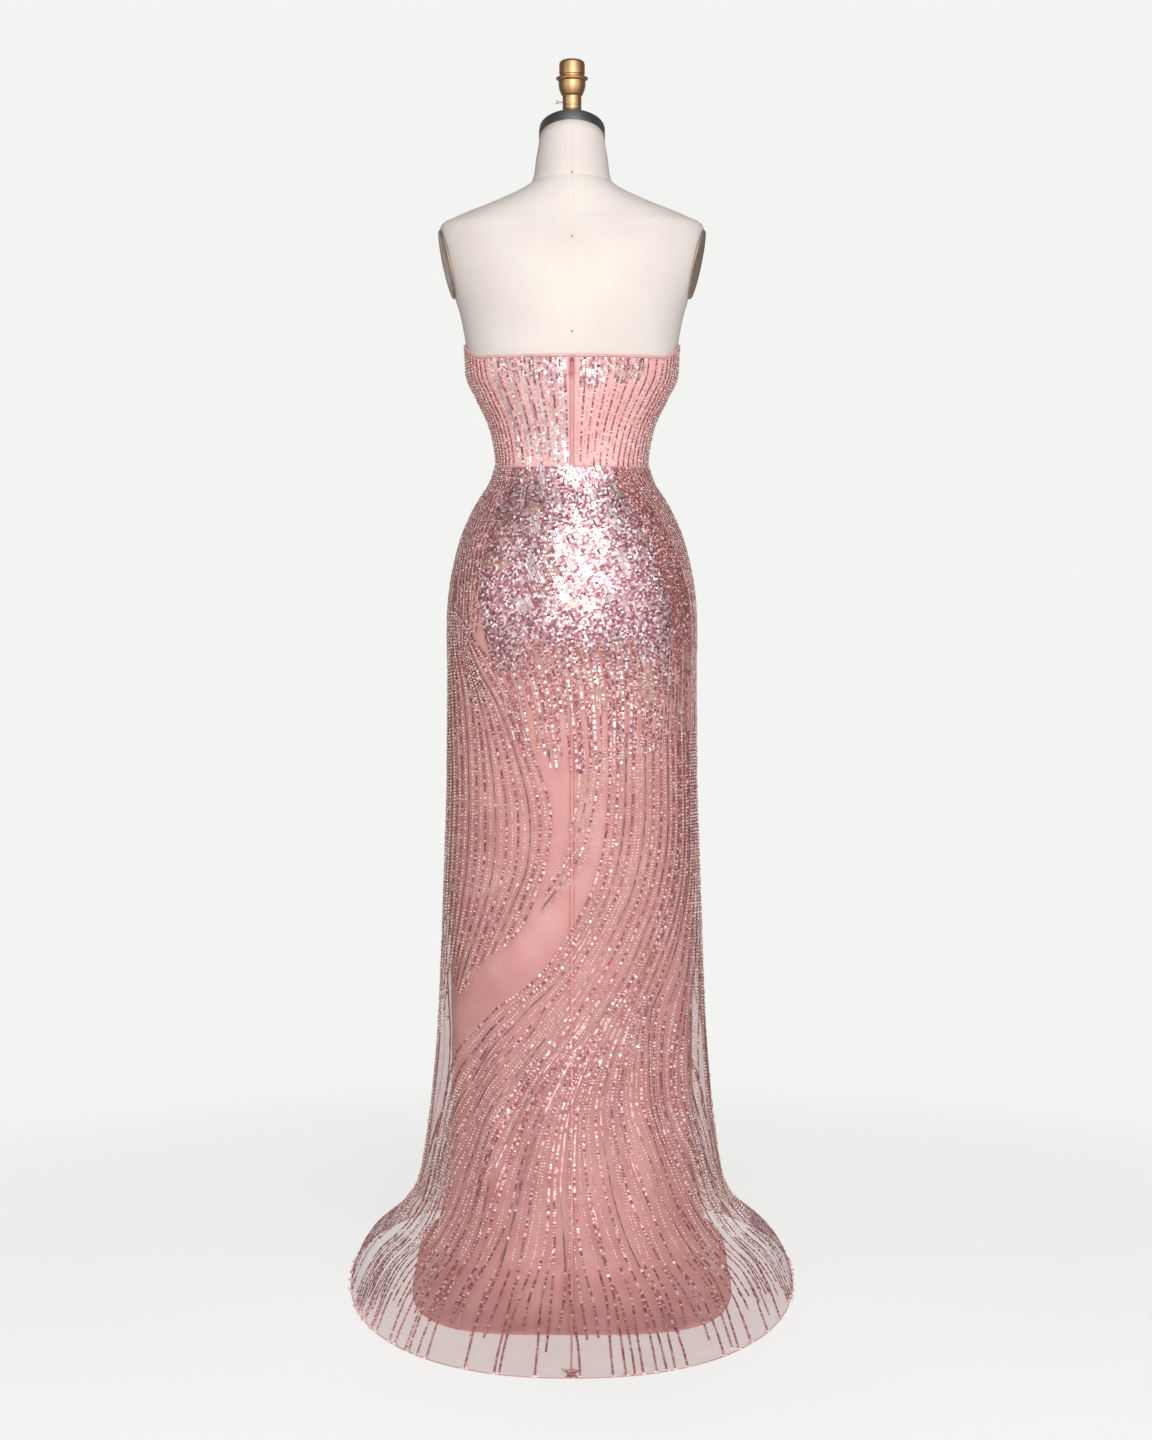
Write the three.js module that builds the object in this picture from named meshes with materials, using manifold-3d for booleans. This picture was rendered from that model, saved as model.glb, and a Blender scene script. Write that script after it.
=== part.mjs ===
// A strapless evening gown with a sheer beaded overlay and a short train, worn by a limbless dress form
// on a round-footed stand. Millimetres, +Z up. The front faces -Y and the train runs out towards +Y.
// The origin is on the floor, at the middle of the stand's foot.
import * as THREE from "three";
import { mergeVertices } from "three/addons/utils/BufferGeometryUtils.js";
import Module from "manifold-3d";

const wasm = await Module();
wasm.setup();

// Driving heights, from the floor
const FORM_BOTTOM = 850;
const WAIST = 1156;
const NECKLINE_BACK = 1310;
const NECKLINE_SIDE = 1330;
const NECKLINE_FRONT = 1368;
const NECKLINE_DIP = { deep: 12, wide: 17 }; // the drop at the middle of the front, and its width in degrees
const NECKLINE_REACH = { back: 0.55, front: 0.85 }; // the cosine of the angle at which each height is reached
const ZIP_BOTTOM = 1021;
const NECK_TOP = 1628;

// Cloth and seams
const SEAM_GAP = 0.3;
const SEAM_STEPS = 12;
const EASE = 0.9; // between the form and the cloth that lies on it
const BODICE_THICKNESS = 2;
const LINING_THICKNESS = 1;
const OVERLAY_THICKNESS = 1;
const LAYER_GAP = 0.6; // between lining and overlay where they lie together
const BINDING_HEIGHT = 4;
const OVERLAY_OFFSET = EASE + LINING_THICKNESS + LAYER_GAP;

// Zip, at the middle of the back
const ZIP_WIDTH = 4.4;
const ZIP_THICKNESS = 1.7;
const ZIP_OPENING = 5.2; // between the two back panels
const ZIP_STAND_OFF = 1; // from the zip's face to the slider
const SLIDER = { width: 4.8, height: 8, depth: 1.4, below: 3, ear: 2.4, reach: 1 };
const PULL = { pin: 0.6, eye: 1, rim: 1.9, width: 2, gap: 0.3, length: 21, tip: 3.2, thickness: 1.2 };

// Stand
const FOOT_RADIUS = 145;
const FOOT_HEIGHT = 14;
const FOOT_CHAMFER = 6;
const HUB = { low: 32, shoulder: 24, high: 19, shoulderHeight: 26 };
const HUB_HEIGHT = 46;
const POLE_RADIUS = 14;

// Facets
const FORM_SEGMENTS = 48; // also the bodice and the lining
const OVERLAY_SEGMENTS = 60;
const ROUND_SEGMENTS = 24;

// Half turns in degrees, counted from the middle of the back towards +X
const BACK = 0;
const LEFT_SIDE = 90;
const FRONT = 180;
const RIGHT_SIDE = 270;
const FULL = 360;

// Rings of the dress form, from the thigh up to the top of the neck. half is half the width, back and
// front are the depths behind and before the pole, and lean is how much the ring rises towards the back.
const FIGURE = [
  { z: FORM_BOTTOM, half: 175, back: 116, front: 98, lean: 0 },
  { z: 939, half: 176, back: 127.5, front: 104, lean: 0 },
  { z: 982, half: 172.5, back: 127, front: 105, lean: 0 },
  { z: 1025, half: 164.5, back: 120, front: 104, lean: 0 },
  { z: 1069, half: 152, back: 107, front: 102, lean: 0 },
  { z: 1091, half: 141, back: 98, front: 100, lean: 0 },
  { z: 1113, half: 128.5, back: 88, front: 97.5, lean: 0 },
  { z: 1134, half: 115, back: 79, front: 94.5, lean: 0 },
  { z: WAIST, half: 107.5, back: 73.5, front: 92, lean: 0 },
  { z: 1178, half: 107.5, back: 72, front: 91, lean: 0 },
  { z: 1221, half: 117, back: 79, front: 95, lean: 0 },
  { z: 1264, half: 137, back: 91, front: 104, lean: 0 },
  { z: 1286, half: 148, back: 96, front: 109, lean: 0 },
  { z: 1332, half: 152, back: 102, front: 114, lean: 0 },
  { z: 1384, half: 162.5, back: 105, front: 108, lean: 0 },
  { z: 1436, half: 181.5, back: 103, front: 96, lean: 0 },
  { z: 1471, half: 188.5, back: 97, front: 84, lean: 0 },
  { z: 1494, half: 190.5, back: 88, front: 72, lean: 0 },
  { z: 1505, half: 186.5, back: 84, front: 67, lean: 0 },
  { z: 1514, half: 170, back: 80, front: 62.5, lean: 0 },
  { z: 1531, half: 128.6, back: 75, front: 56, lean: 0 },
  { z: 1549, half: 84.5, back: 69, front: 52, lean: 0.03 },
  { z: 1564, half: 58, back: 62, front: 50, lean: 0.08 },
  { z: 1600, half: 51, back: 53, front: 49, lean: 0.25 },
  { z: NECK_TOP, half: 46.5, back: 50, front: 46.5, lean: 0.385 },
];
const BUST = { x: 72, z: 1303, rise: 32, wide: 56, high: 56 };

// Heights at which the bodice and the form under it share a ring; three more run up to the neckline
const BODICE_HEIGHTS = [1176, 1198, 1220, 1244, 1268, 1290];
const NECKLINE_ROWS = 3;

// Heights at which the skirt has a ring while it still lies on the form
const HIP_HEIGHTS = [1134, 1113, 1091, 1060, 1020, 975, 925, 870];

// Rings of the lining below the form. Each ring has its own height at the back, the side and the front,
// and a curve: 1 is a plain oval, and less is squarer.
const LINING_FALL = [
  { half: 176, back: 119, front: 102, zBack: 790, zSide: 790, zFront: 790, curve: 1 },
  { half: 176, back: 122, front: 111, zBack: 580, zSide: 580, zFront: 580, curve: 1 },
  { half: 174, back: 131, front: 117, zBack: 430, zSide: 430, zFront: 430, curve: 1 },
  { half: 173, back: 154, front: 126, zBack: 290, zSide: 290, zFront: 290, curve: 1 },
  { half: 178, back: 192, front: 136, zBack: 175, zSide: 180, zFront: 200, curve: 0.92 },
  { half: 188, back: 240, front: 144, zBack: 88, zSide: 90, zFront: 130, curve: 0.8 },
  { half: 202, back: 300, front: 147, zBack: 26, zSide: 28, zFront: 85, curve: 0.7 },
  { half: 214, back: 346, front: 149, zBack: 6, zSide: 7, zFront: 70, curve: 0.62 },
  { half: 226, back: 397, front: 150, zBack: 0, zSide: 0, zFront: 62, curve: 0.56 },
];

// Rings of the sheer overlay below the form, down to its edge on the floor
const OVERLAY_FALL = [
  { half: 176, back: 119.5, front: 102.5, zBack: 790, zSide: 790, zFront: 790, curve: 1 },
  { half: 177, back: 120.5, front: 107, zBack: 700, zSide: 700, zFront: 700, curve: 1 },
  { half: 180.5, back: 125, front: 113, zBack: 600, zSide: 600, zFront: 600, curve: 1 },
  { half: 184.5, back: 134, front: 121, zBack: 500, zSide: 500, zFront: 500, curve: 1 },
  { half: 188.5, back: 148, front: 131, zBack: 400, zSide: 400, zFront: 400, curve: 1 },
  { half: 193.5, back: 168, front: 142, zBack: 310, zSide: 310, zFront: 310, curve: 1 },
  { half: 199.5, back: 190, front: 153, zBack: 235, zSide: 235, zFront: 240, curve: 1 },
  { half: 208, back: 217, front: 166, zBack: 172, zSide: 172, zFront: 185, curve: 1 },
  { half: 222, back: 249, front: 180, zBack: 116, zSide: 118, zFront: 142, curve: 1 },
  { half: 250, back: 288, front: 196, zBack: 68, zSide: 80, zFront: 108, curve: 0.98 },
  { half: 287, back: 330, front: 212, zBack: 34, zSide: 50, zFront: 82, curve: 0.96 },
  { half: 305, back: 380, front: 226, zBack: 12, zSide: 25, zFront: 65, curve: 0.94 },
  { half: 313, back: 450, front: 238, zBack: 2.5, zSide: 6, zFront: 54, curve: 0.92 },
  { half: 316, back: 532, front: 245, zBack: 0, zSide: 0, zFront: 50, curve: 0.9 },
  { half: 316.5, back: 605, front: 250, zBack: 0, zSide: 0, zFront: 47, curve: 0.89 },
];

// Soft folds of the overlay: where each stands out, how far at its fullest, how wide, and where it starts
const FOLDS = [
  { at: 11, rise: 9, wide: 7, top: 470 },
  { at: 31, rise: 12, wide: 7.5, top: 560 },
  { at: 52, rise: 10, wide: 8, top: 610 },
  { at: 74, rise: 7, wide: 7, top: 520 },
  { at: 103, rise: 8, wide: 8, top: 500 },
  { at: 131, rise: 11, wide: 9, top: 560 },
  { at: 160, rise: 9, wide: 8, top: 470 },
  { at: 190, rise: 10, wide: 9, top: 540 },
  { at: 219, rise: 9, wide: 8, top: 480 },
  { at: 246, rise: 10, wide: 8, top: 560 },
  { at: 287, rise: 8, wide: 7, top: 520 },
  { at: 308, rise: 11, wide: 8, top: 600 },
  { at: 331, rise: 10, wide: 7, top: 500 },
  { at: 349, rise: 8, wide: 7, top: 440 },
];
const FOLD_FULLEST = 190; // the height at which folds stand out most
const FOLD_LOWEST = 8; // the height at which they have died away
const HEM_TURN = { back: 2, front: 1.3 }; // how late a ring's height changes from the side to the back and front

const radians = (degrees) => (degrees * Math.PI) / 180;
const mix = (a, b, t) => a + (b - a) * t;
const smooth = (low, high, value) => {
  const t = Math.min(1, Math.max(0, (value - low) / (high - low)));
  return t * t * (3 - 2 * t);
};

// The value of one column at a place along a table's rows, on a smooth curve through them.
function sample(rows, column, place) {
  const i = Math.min(rows.length - 2, Math.max(0, Math.floor(place)));
  const t = place - i;
  const at = (k) => rows[Math.min(rows.length - 1, Math.max(0, k))][column];
  const [a, b, c, d] = [at(i - 1), at(i), at(i + 1), at(i + 2)];
  const [in_, out] = [(c - a) / 2, (d - b) / 2];
  const t2 = t * t;
  const t3 = t2 * t;
  return (2 * t3 - 3 * t2 + 1) * b + (t3 - 2 * t2 + t) * in_ + (3 * t2 - 2 * t3) * c + (t3 - t2) * out;
}

// Where a height lies along the rows of the form's table.
function figurePlace(z) {
  const above = FIGURE.findIndex((row) => row.z > z);
  if (above <= 0) return above === 0 ? 0 : FIGURE.length - 1;
  return above - 1 + (z - FIGURE[above - 1].z) / (FIGURE[above].z - FIGURE[above - 1].z);
}

const figureRow = (z) => {
  const place = figurePlace(z);
  const column = (name) => sample(FIGURE, name, place);
  return { half: column("half"), back: column("back"), front: column("front"), lean: column("lean") };
};

// How far the bust stands before the form's front at a place on it.
function bustRise(x, z) {
  const side = Math.abs(x) - BUST.x;
  return BUST.rise * Math.exp(-((side / BUST.wide) ** 2) - ((z - BUST.z) / BUST.high) ** 2);
}

// A point of the dress form's surface: angle in degrees from the middle of the back, and height.
function figure(angle, z) {
  const row = figureRow(z);
  const [s, c] = [Math.sin(radians(angle)), Math.cos(radians(angle))];
  const x = row.half * s;
  const y = c * (c > 0 ? row.back : row.front) - bustRise(x, z) * smooth(0, 0.5, -c);
  return new THREE.Vector3(x, y, z + row.lean * y);
}

// How far the folds lift the overlay off its plain shape.
function foldRise(angle, z) {
  const height = z > FOLD_FULLEST ? 1 : smooth(FOLD_LOWEST, FOLD_FULLEST, z);
  return FOLDS.reduce((sum, fold) => {
    const away = ((angle - fold.at + 540) % FULL) - 180;
    const fade = 1 - smooth(FOLD_FULLEST, fold.top, z);
    return sum + fold.rise * height * fade * Math.exp(-((away / fold.wide) ** 2));
  }, 0);
}

// A skirt layer's rows: the hips lie on the form, and below it the layer has its own fall.
function skirtRows(fall) {
  const hips = [WAIST - SEAM_GAP / 2, ...HIP_HEIGHTS].map((z) => {
    return { ...figureRow(z), zBack: z, zSide: z, zFront: z, curve: 1 };
  });
  return [...hips, ...fall];
}
const LINING_ROWS = skirtRows(LINING_FALL);
const OVERLAY_ROWS = skirtRows(OVERLAY_FALL);

// A point of a skirt layer: angle, and place along its rows.
function skirt(rows, folded, angle, place) {
  const column = (name) => sample(rows, name, place);
  const [s, c] = [Math.sin(radians(angle)), Math.cos(radians(angle))].map((value) => {
    return Math.sign(value) * Math.abs(value) ** column("curve");
  });
  const depth = c > 0 ? column("back") : column("front");
  const end = c > 0 ? column("zBack") : column("zFront");
  const share = Math.abs(c) ** (c > 0 ? HEM_TURN.back : HEM_TURN.front);
  const z = Math.max(0, mix(column("zSide"), end, share));
  const point = new THREE.Vector3(column("half") * s, depth * c, z);
  if (!folded) return point;
  return point.addScaledVector(new THREE.Vector3(s, c, 0), foldRise(angle, z));
}

// The outward normal of a surface given as a function of angle and place.
function normalOf(surface, angle, place, step) {
  const turn = surface(angle + 0.5, place).sub(surface(angle - 0.5, place));
  const [near, far] = [Math.max(step.low, place - step.by), Math.min(step.high, place + step.by)];
  const along = surface(angle, far).sub(surface(angle, near));
  return turn.cross(along).normalize().multiplyScalar(step.sign);
}

// A closed solid from a grid of inner points and a grid of outer points, each indexed [row][column].
// A grid that goes all the way round repeats no column.
function wall(inner, outer, allRound = false) {
  const [rows, columns] = [inner.length, inner[0].length];
  const points = [...inner.flat(), ...outer.flat()];
  const index = [];
  const id = (side, i, j) => side * rows * columns + i * columns + (j % columns);
  const quad = (a, b, c, d) => index.push(a, b, c, a, c, d);
  const spans = allRound ? columns : columns - 1;
  for (let i = 0; i < rows - 1; i++) {
    for (let j = 0; j < spans; j++) {
      quad(id(1, i, j), id(1, i + 1, j), id(1, i + 1, j + 1), id(1, i, j + 1));
      quad(id(0, i, j), id(0, i, j + 1), id(0, i + 1, j + 1), id(0, i + 1, j));
    }
  }
  for (let j = 0; j < spans; j++) {
    quad(id(0, 0, j), id(1, 0, j), id(1, 0, j + 1), id(0, 0, j + 1));
    quad(id(0, rows - 1, j), id(0, rows - 1, j + 1), id(1, rows - 1, j + 1), id(1, rows - 1, j));
  }
  for (let i = 0; i < rows - 1 && !allRound; i++) {
    quad(id(0, i, 0), id(0, i + 1, 0), id(1, i + 1, 0), id(1, i, 0));
    quad(id(0, i, spans), id(1, i, spans), id(1, i + 1, spans), id(0, i + 1, spans));
  }
  return closed(points, index);
}

// Geometry from points and triangles, turned to face outwards.
function closed(points, index) {
  const volume = index.reduce((sum, _, k) => {
    if (k % 3) return sum;
    const [a, b, c] = [points[index[k]], points[index[k + 1]], points[index[k + 2]]];
    return sum + a.dot(new THREE.Vector3().crossVectors(b, c));
  }, 0);
  const swapped = [0, 1, -1]; // the second and third corner of each triangle change places
  const facing = volume > 0 ? index : index.map((_, k) => index[k + swapped[k % 3]]);
  const geometry = new THREE.BufferGeometry().setFromPoints(points);
  geometry.setIndex(facing);
  return geometry;
}

// A closed solid through rings of points, with a flat lid at each end.
function loft(rings) {
  const columns = rings[0].length;
  const middle = (ring) => ring.reduce((sum, p) => sum.add(p), new THREE.Vector3()).divideScalar(columns);
  const points = [...rings.flat(), middle(rings[0]), middle(rings.at(-1))];
  const [low, high] = [rings.length * columns, rings.length * columns + 1];
  const index = [];
  for (let j = 0; j < columns; j++) {
    const k = (j + 1) % columns;
    const last = (rings.length - 1) * columns;
    index.push(low, k, j, high, last + j, last + k);
    for (let i = 0; i < rings.length - 1; i++) {
      const [a, b] = [i * columns, (i + 1) * columns];
      index.push(a + j, a + k, b + k, a + j, b + k, b + j);
    }
  }
  return closed(points, index);
}

// manifold-3d solids, for the pieces that are cut by others
function solidOf(geometry) {
  const bare = (geometry.index ? geometry.toNonIndexed() : geometry).clone();
  bare.deleteAttribute("normal");
  bare.deleteAttribute("uv");
  const merged = mergeVertices(bare, 1e-3);
  return new wasm.Manifold(
    new wasm.Mesh({
      numProp: 3,
      vertProperties: merged.attributes.position.array,
      triVerts: new Uint32Array(merged.index.array),
    }),
  );
}
function geometryOf(solid) {
  const mesh = solid.getMesh();
  const geometry = new THREE.BufferGeometry();
  geometry.setAttribute("position", new THREE.BufferAttribute(new Float32Array(mesh.vertProperties), 3));
  return geometry.setIndex(new THREE.BufferAttribute(new Uint32Array(mesh.triVerts), 1));
}

// The angle from a seam to a panel's edge, half a gap off it, found by steps because a ring may be squarish.
function seamTurn(surface, edge, place, gap, way) {
  const seam = surface(edge, place);
  const wanted = gap(seam.z) / 2;
  let turn = 0.1;
  for (let step = 0; step < SEAM_STEPS; step++) {
    turn *= wanted / surface(edge + way * turn, place).distanceTo(seam);
  }
  return turn;
}

// A cloth panel between two angles. Its surface is offset outwards from a plain one, its two upright edges
// stop half a gap short of the seam, and it keeps between a lowest and a highest level.
function panel(shape) {
  const { surface, step, places, from, to, segments, offset, thickness } = shape;
  const { gapFrom, gapTo, low, high, lift = 0, hold = () => 1 } = shape;
  const columns = Math.max(1, Math.round((segments * (to - from)) / FULL));
  const grid = [offset, offset + thickness].map((depth) =>
    places.map((placeAt) =>
      Array.from({ length: columns + 1 }, (_, j) => {
        const angleAt = (gap, edge, way) => edge + way * seamTurn(surface, edge, placeAt(edge), gap, way);
        const angle = mix(angleAt(gapFrom, from, 1), angleAt(gapTo, to, -1), j / columns);
        const place = placeAt(angle);
        const out = normalOf(surface, angle, place, step);
        const point = surface(angle, place).addScaledVector(out, depth - offset + offset * hold(place));
        point.z = Math.min(high, Math.max(depth === offset ? low : low + thickness * lift, point.z));
        return point;
      }),
    ),
  );
  return wall(grid[0], grid[1]);
}

const seam = () => SEAM_GAP;
const zipOpening = (z) => (z > ZIP_BOTTOM - 2 ? ZIP_OPENING : SEAM_GAP);

// The height of the neckline round the bodice.
function neckline(angle) {
  const c = Math.cos(radians(angle));
  const dip = NECKLINE_DIP.deep * Math.exp(-(((angle - FRONT) / NECKLINE_DIP.wide) ** 2));
  if (c > 0) return mix(NECKLINE_SIDE, NECKLINE_BACK, smooth(0, NECKLINE_REACH.back, c));
  return mix(NECKLINE_SIDE, NECKLINE_FRONT, smooth(0, NECKLINE_REACH.front, -c)) - dip;
}

const FIGURE_STEP = { by: 3, low: FORM_BOTTOM, high: NECK_TOP, sign: -1 };
const skirtStep = (rows) => ({ by: 0.2, low: 0, high: rows.length - 1, sign: 1 });

function bodicePanel(from, to, gapFrom, gapTo) {
  const bottom = WAIST + SEAM_GAP / 2;
  const level = [bottom, ...BODICE_HEIGHTS].map((z) => () => z);
  const top = BODICE_HEIGHTS.at(-1);
  const rising = Array.from({ length: NECKLINE_ROWS }, (_, i) => (i + 1) / NECKLINE_ROWS);
  const places = [...level, ...rising.map((share) => (angle) => mix(top, neckline(angle), share))];
  const shape = { surface: figure, step: FIGURE_STEP, places, from, to, segments: FORM_SEGMENTS };
  const edges = { gapFrom, gapTo, low: bottom, high: NECK_TOP };
  return panel({ ...shape, ...edges, offset: EASE, thickness: BODICE_THICKNESS });
}

function binding() {
  const places = [0, BINDING_HEIGHT].map((up) => (angle) => neckline(angle) + SEAM_GAP + up);
  const shape = { surface: figure, step: FIGURE_STEP, places, from: BACK, to: FULL, segments: FORM_SEGMENTS };
  const gap = () => ZIP_OPENING;
  const edges = { gapFrom: gap, gapTo: gap, low: 0, high: NECK_TOP };
  return panel({ ...shape, ...edges, offset: EASE, thickness: BODICE_THICKNESS });
}

function skirtPanel(layer, from, to, gapFrom, gapTo) {
  const { rows, folded, segments, offset, thickness } = layer;
  const surface = (angle, place) => skirt(rows, folded, angle, place);
  const places = rows.map((_, i) => () => i);
  const hold = (place) => 1 - smooth(HIP_HEIGHTS.length, rows.length - 4, place);
  const edges = { from, to, gapFrom, gapTo, low: 0, high: WAIST - SEAM_GAP / 2, lift: 1, hold };
  return panel({ surface, step: skirtStep(rows), places, segments, offset, thickness, ...edges });
}
const LINING = {
  rows: LINING_ROWS,
  folded: false,
  segments: FORM_SEGMENTS,
  offset: EASE,
  thickness: LINING_THICKNESS,
};
const OVERLAY = {
  rows: OVERLAY_ROWS,
  folded: true,
  segments: OVERLAY_SEGMENTS,
  offset: OVERLAY_OFFSET,
  thickness: OVERLAY_THICKNESS,
};

// A strip along the middle of the back, from one height to another, standing off the form.
function backStrip({ width, bottom, top, offset, thickness, rows }) {
  const grid = [offset, offset + thickness].map((depth) =>
    Array.from({ length: rows + 1 }, (_, i) => {
      const z = mix(bottom, top, i / rows);
      return [-width / 2, width / 2].map((x) => {
        const out = normalOf(figure, BACK, z, FIGURE_STEP);
        return figure(BACK, z).addScaledVector(out, depth).add(new THREE.Vector3(x, 0, 0));
      });
    }),
  );
  return wall(grid[0], grid[1]);
}

// The canvas body of the form, cut flat where each arm plate sits: margin is how far the cut runs round it.
const ARM_PLATE = { x: 178, y: -2, z: 1449, high: 50, deep: 40, thickness: 3, sink: 60, margin: 14 };
const ARM_DIRECTION = new THREE.Vector3(1, 0.14, -0.22).normalize();

// A disc with an oval outline, square to the arm's direction, from one distance along it to another.
function armOval(side, high, deep, near, far) {
  const out = new THREE.Vector3(side * ARM_DIRECTION.x, ARM_DIRECTION.y, ARM_DIRECTION.z);
  const across = new THREE.Vector3(0, 0, 1).cross(out).normalize();
  const up = new THREE.Vector3().crossVectors(out, across);
  const rings = [near, far].map((distance) =>
    Array.from({ length: ROUND_SEGMENTS }, (_, k) => {
      const turn = radians((FULL * k) / ROUND_SEGMENTS);
      return new THREE.Vector3(side * ARM_PLATE.x, ARM_PLATE.y, ARM_PLATE.z)
        .addScaledVector(out, distance)
        .addScaledVector(across, deep * Math.cos(turn))
        .addScaledVector(up, high * Math.sin(turn));
    }),
  );
  return loft(rings);
}

function torso() {
  const chest = BODICE_HEIGHTS.at(-1);
  const rising = [1, 2, 3].map((i) => mix(chest, NECKLINE_FRONT, i / NECKLINE_ROWS));
  const above = FIGURE.map((row) => row.z).filter((z) => z > NECKLINE_FRONT);
  const heights = [FORM_BOTTOM, ...HIP_HEIGHTS.toReversed(), WAIST, ...BODICE_HEIGHTS, ...rising, ...above];
  const rings = heights.map((z) =>
    Array.from({ length: FORM_SEGMENTS }, (_, j) => figure((FULL * j) / FORM_SEGMENTS, z)),
  );
  const { high, deep, sink, margin } = ARM_PLATE;
  const cut = (side) => solidOf(armOval(side, high + margin, deep + margin, 0, sink));
  return geometryOf(solidOf(loft(rings)).subtract(cut(1)).subtract(cut(-1)));
}

// The steel cap on the neck: a disc as tilted as the neck's top.
const CAP = { thickness: 16.5, proud: 0.6, edge: 1.5, drawnIn: 1.2 };
const CAP_TILT = Math.atan(FIGURE.at(-1).lean);
function neckCap() {
  const out = new THREE.Vector3(0, -Math.sin(CAP_TILT), Math.cos(CAP_TILT));
  const ring = (distance, grow) =>
    Array.from({ length: FORM_SEGMENTS }, (_, j) => {
      const point = figure((FULL * j) / FORM_SEGMENTS, NECK_TOP);
      const spread = new THREE.Vector3(point.x, point.y, 0).normalize().multiplyScalar(grow);
      return point.add(spread).addScaledVector(out, distance);
    });
  const shoulder = CAP.thickness - CAP.edge;
  return loft([ring(SEAM_GAP, CAP.proud), ring(shoulder, CAP.proud), ring(CAP.thickness, -CAP.drawnIn)]);
}

// The brass fitting on the cap, turned about an upright axis. Its radii, and its heights above its base:
// the collar ends at collarTop, the waist at waistTop and the bell at bellTop, and a ring and a dome follow.
const FITTING = { y: -5, base: 1652, collar: 12.6, waist: 13.6, bell: 19.4, rim: 23.2, dome: 18.4 };
const FITTING_RISE = { foot: -20, collarTop: 17, screw: 28, waistTop: 37, bellTop: 58.2, ring: 5.5, top: 89 };
const CHAMFER = 2;
const SCREW = { shank: 1.1, head: 2.3, length: 9, headLength: 3 };
const lathe = (profile, segments = ROUND_SEGMENTS) =>
  new THREE.LatheGeometry(
    profile.map(([r, z]) => new THREE.Vector2(r, z)),
    segments,
  ).rotateX(Math.PI / 2);
const onFitting = (profile) => lathe(profile).translate(0, FITTING.y, FITTING.base);

function fittingBody() {
  const { collar, waist, bell } = FITTING;
  const { foot, collarTop, waistTop, bellTop } = FITTING_RISE;
  const body = onFitting([
    [0, foot],
    [collar, foot],
    [collar, collarTop],
    [waist, collarTop + CHAMFER],
    [waist, waistTop],
    [bell - 4, waistTop + 2.5],
    [bell - 1.4, waistTop + 8],
    [bell, waistTop + 16],
    [bell, bellTop],
    [0, bellTop],
  ]);
  const slope = new THREE.BoxGeometry(200, 200, 100).translate(0, 0, -50 + CAP.thickness + SEAM_GAP * 2);
  slope.rotateX(CAP_TILT).translate(0, 0, NECK_TOP);
  return geometryOf(solidOf(body).subtract(solidOf(slope)));
}
function fittingRing() {
  const { rim } = FITTING;
  const low = FITTING_RISE.bellTop + SEAM_GAP;
  const high = low + FITTING_RISE.ring;
  return onFitting([
    [0, low],
    [rim - CHAMFER, low],
    [rim, low + CHAMFER],
    [rim, high - CHAMFER],
    [rim - CHAMFER, high],
    [0, high],
  ]);
}
function fittingDome() {
  const { dome } = FITTING;
  const { bellTop, ring, top } = FITTING_RISE;
  const low = bellTop + ring + 2 * SEAM_GAP;
  const round = { across: 9, up: 6.3 };
  const arc = Array.from({ length: 5 }, (_, k) => {
    const turn = radians(90 * (k / 4));
    return [dome - round.across * (1 - Math.cos(turn)), top - round.up * (1 - Math.sin(turn))];
  });
  return onFitting([[0, low], [dome, low], ...arc, [0, top]]);
}
function fittingScrew() {
  const { shank, head, length, headLength } = SCREW;
  const profile = [
    [0, 0],
    [shank, 0],
    [shank, length - headLength],
    [head, length - headLength],
    [head, length],
    [0, length],
  ];
  const screw = lathe(profile, 12).rotateY(Math.PI / 2);
  return screw.translate(FITTING.waist + SEAM_GAP, FITTING.y, FITTING.base + FITTING_RISE.screw);
}

// The stand: a pole from the form's underside, a hub and a round foot
const pole = () =>
  lathe([
    [0, HUB_HEIGHT + SEAM_GAP],
    [POLE_RADIUS, HUB_HEIGHT + SEAM_GAP],
    [POLE_RADIUS, FORM_BOTTOM - SEAM_GAP],
    [0, FORM_BOTTOM - SEAM_GAP],
  ]);
const hub = () =>
  lathe([
    [0, FOOT_HEIGHT + SEAM_GAP],
    [HUB.low, FOOT_HEIGHT + SEAM_GAP],
    [HUB.shoulder, HUB.shoulderHeight],
    [HUB.high, HUB_HEIGHT],
    [0, HUB_HEIGHT],
  ]);
const foot = () =>
  lathe([
    [0, 0],
    [FOOT_RADIUS, 0],
    [FOOT_RADIUS, FOOT_HEIGHT - FOOT_CHAMFER],
    [FOOT_RADIUS - FOOT_CHAMFER, FOOT_HEIGHT],
    [0, FOOT_HEIGHT],
  ]);

// The zip's slider stands on the zip's face near its top; two ears hold the pin that the pull swings on.
const ZIP_TOP = NECKLINE_BACK + SEAM_GAP + BINDING_HEIGHT;
const PIN_Z = NECKLINE_BACK - SLIDER.below - PULL.rim;
const ZIP_FACE = figure(BACK, PIN_Z).y + EASE + ZIP_THICKNESS + ZIP_STAND_OFF;
const PIN_Y = ZIP_FACE + SLIDER.depth + PULL.rim + PULL.gap;

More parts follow.
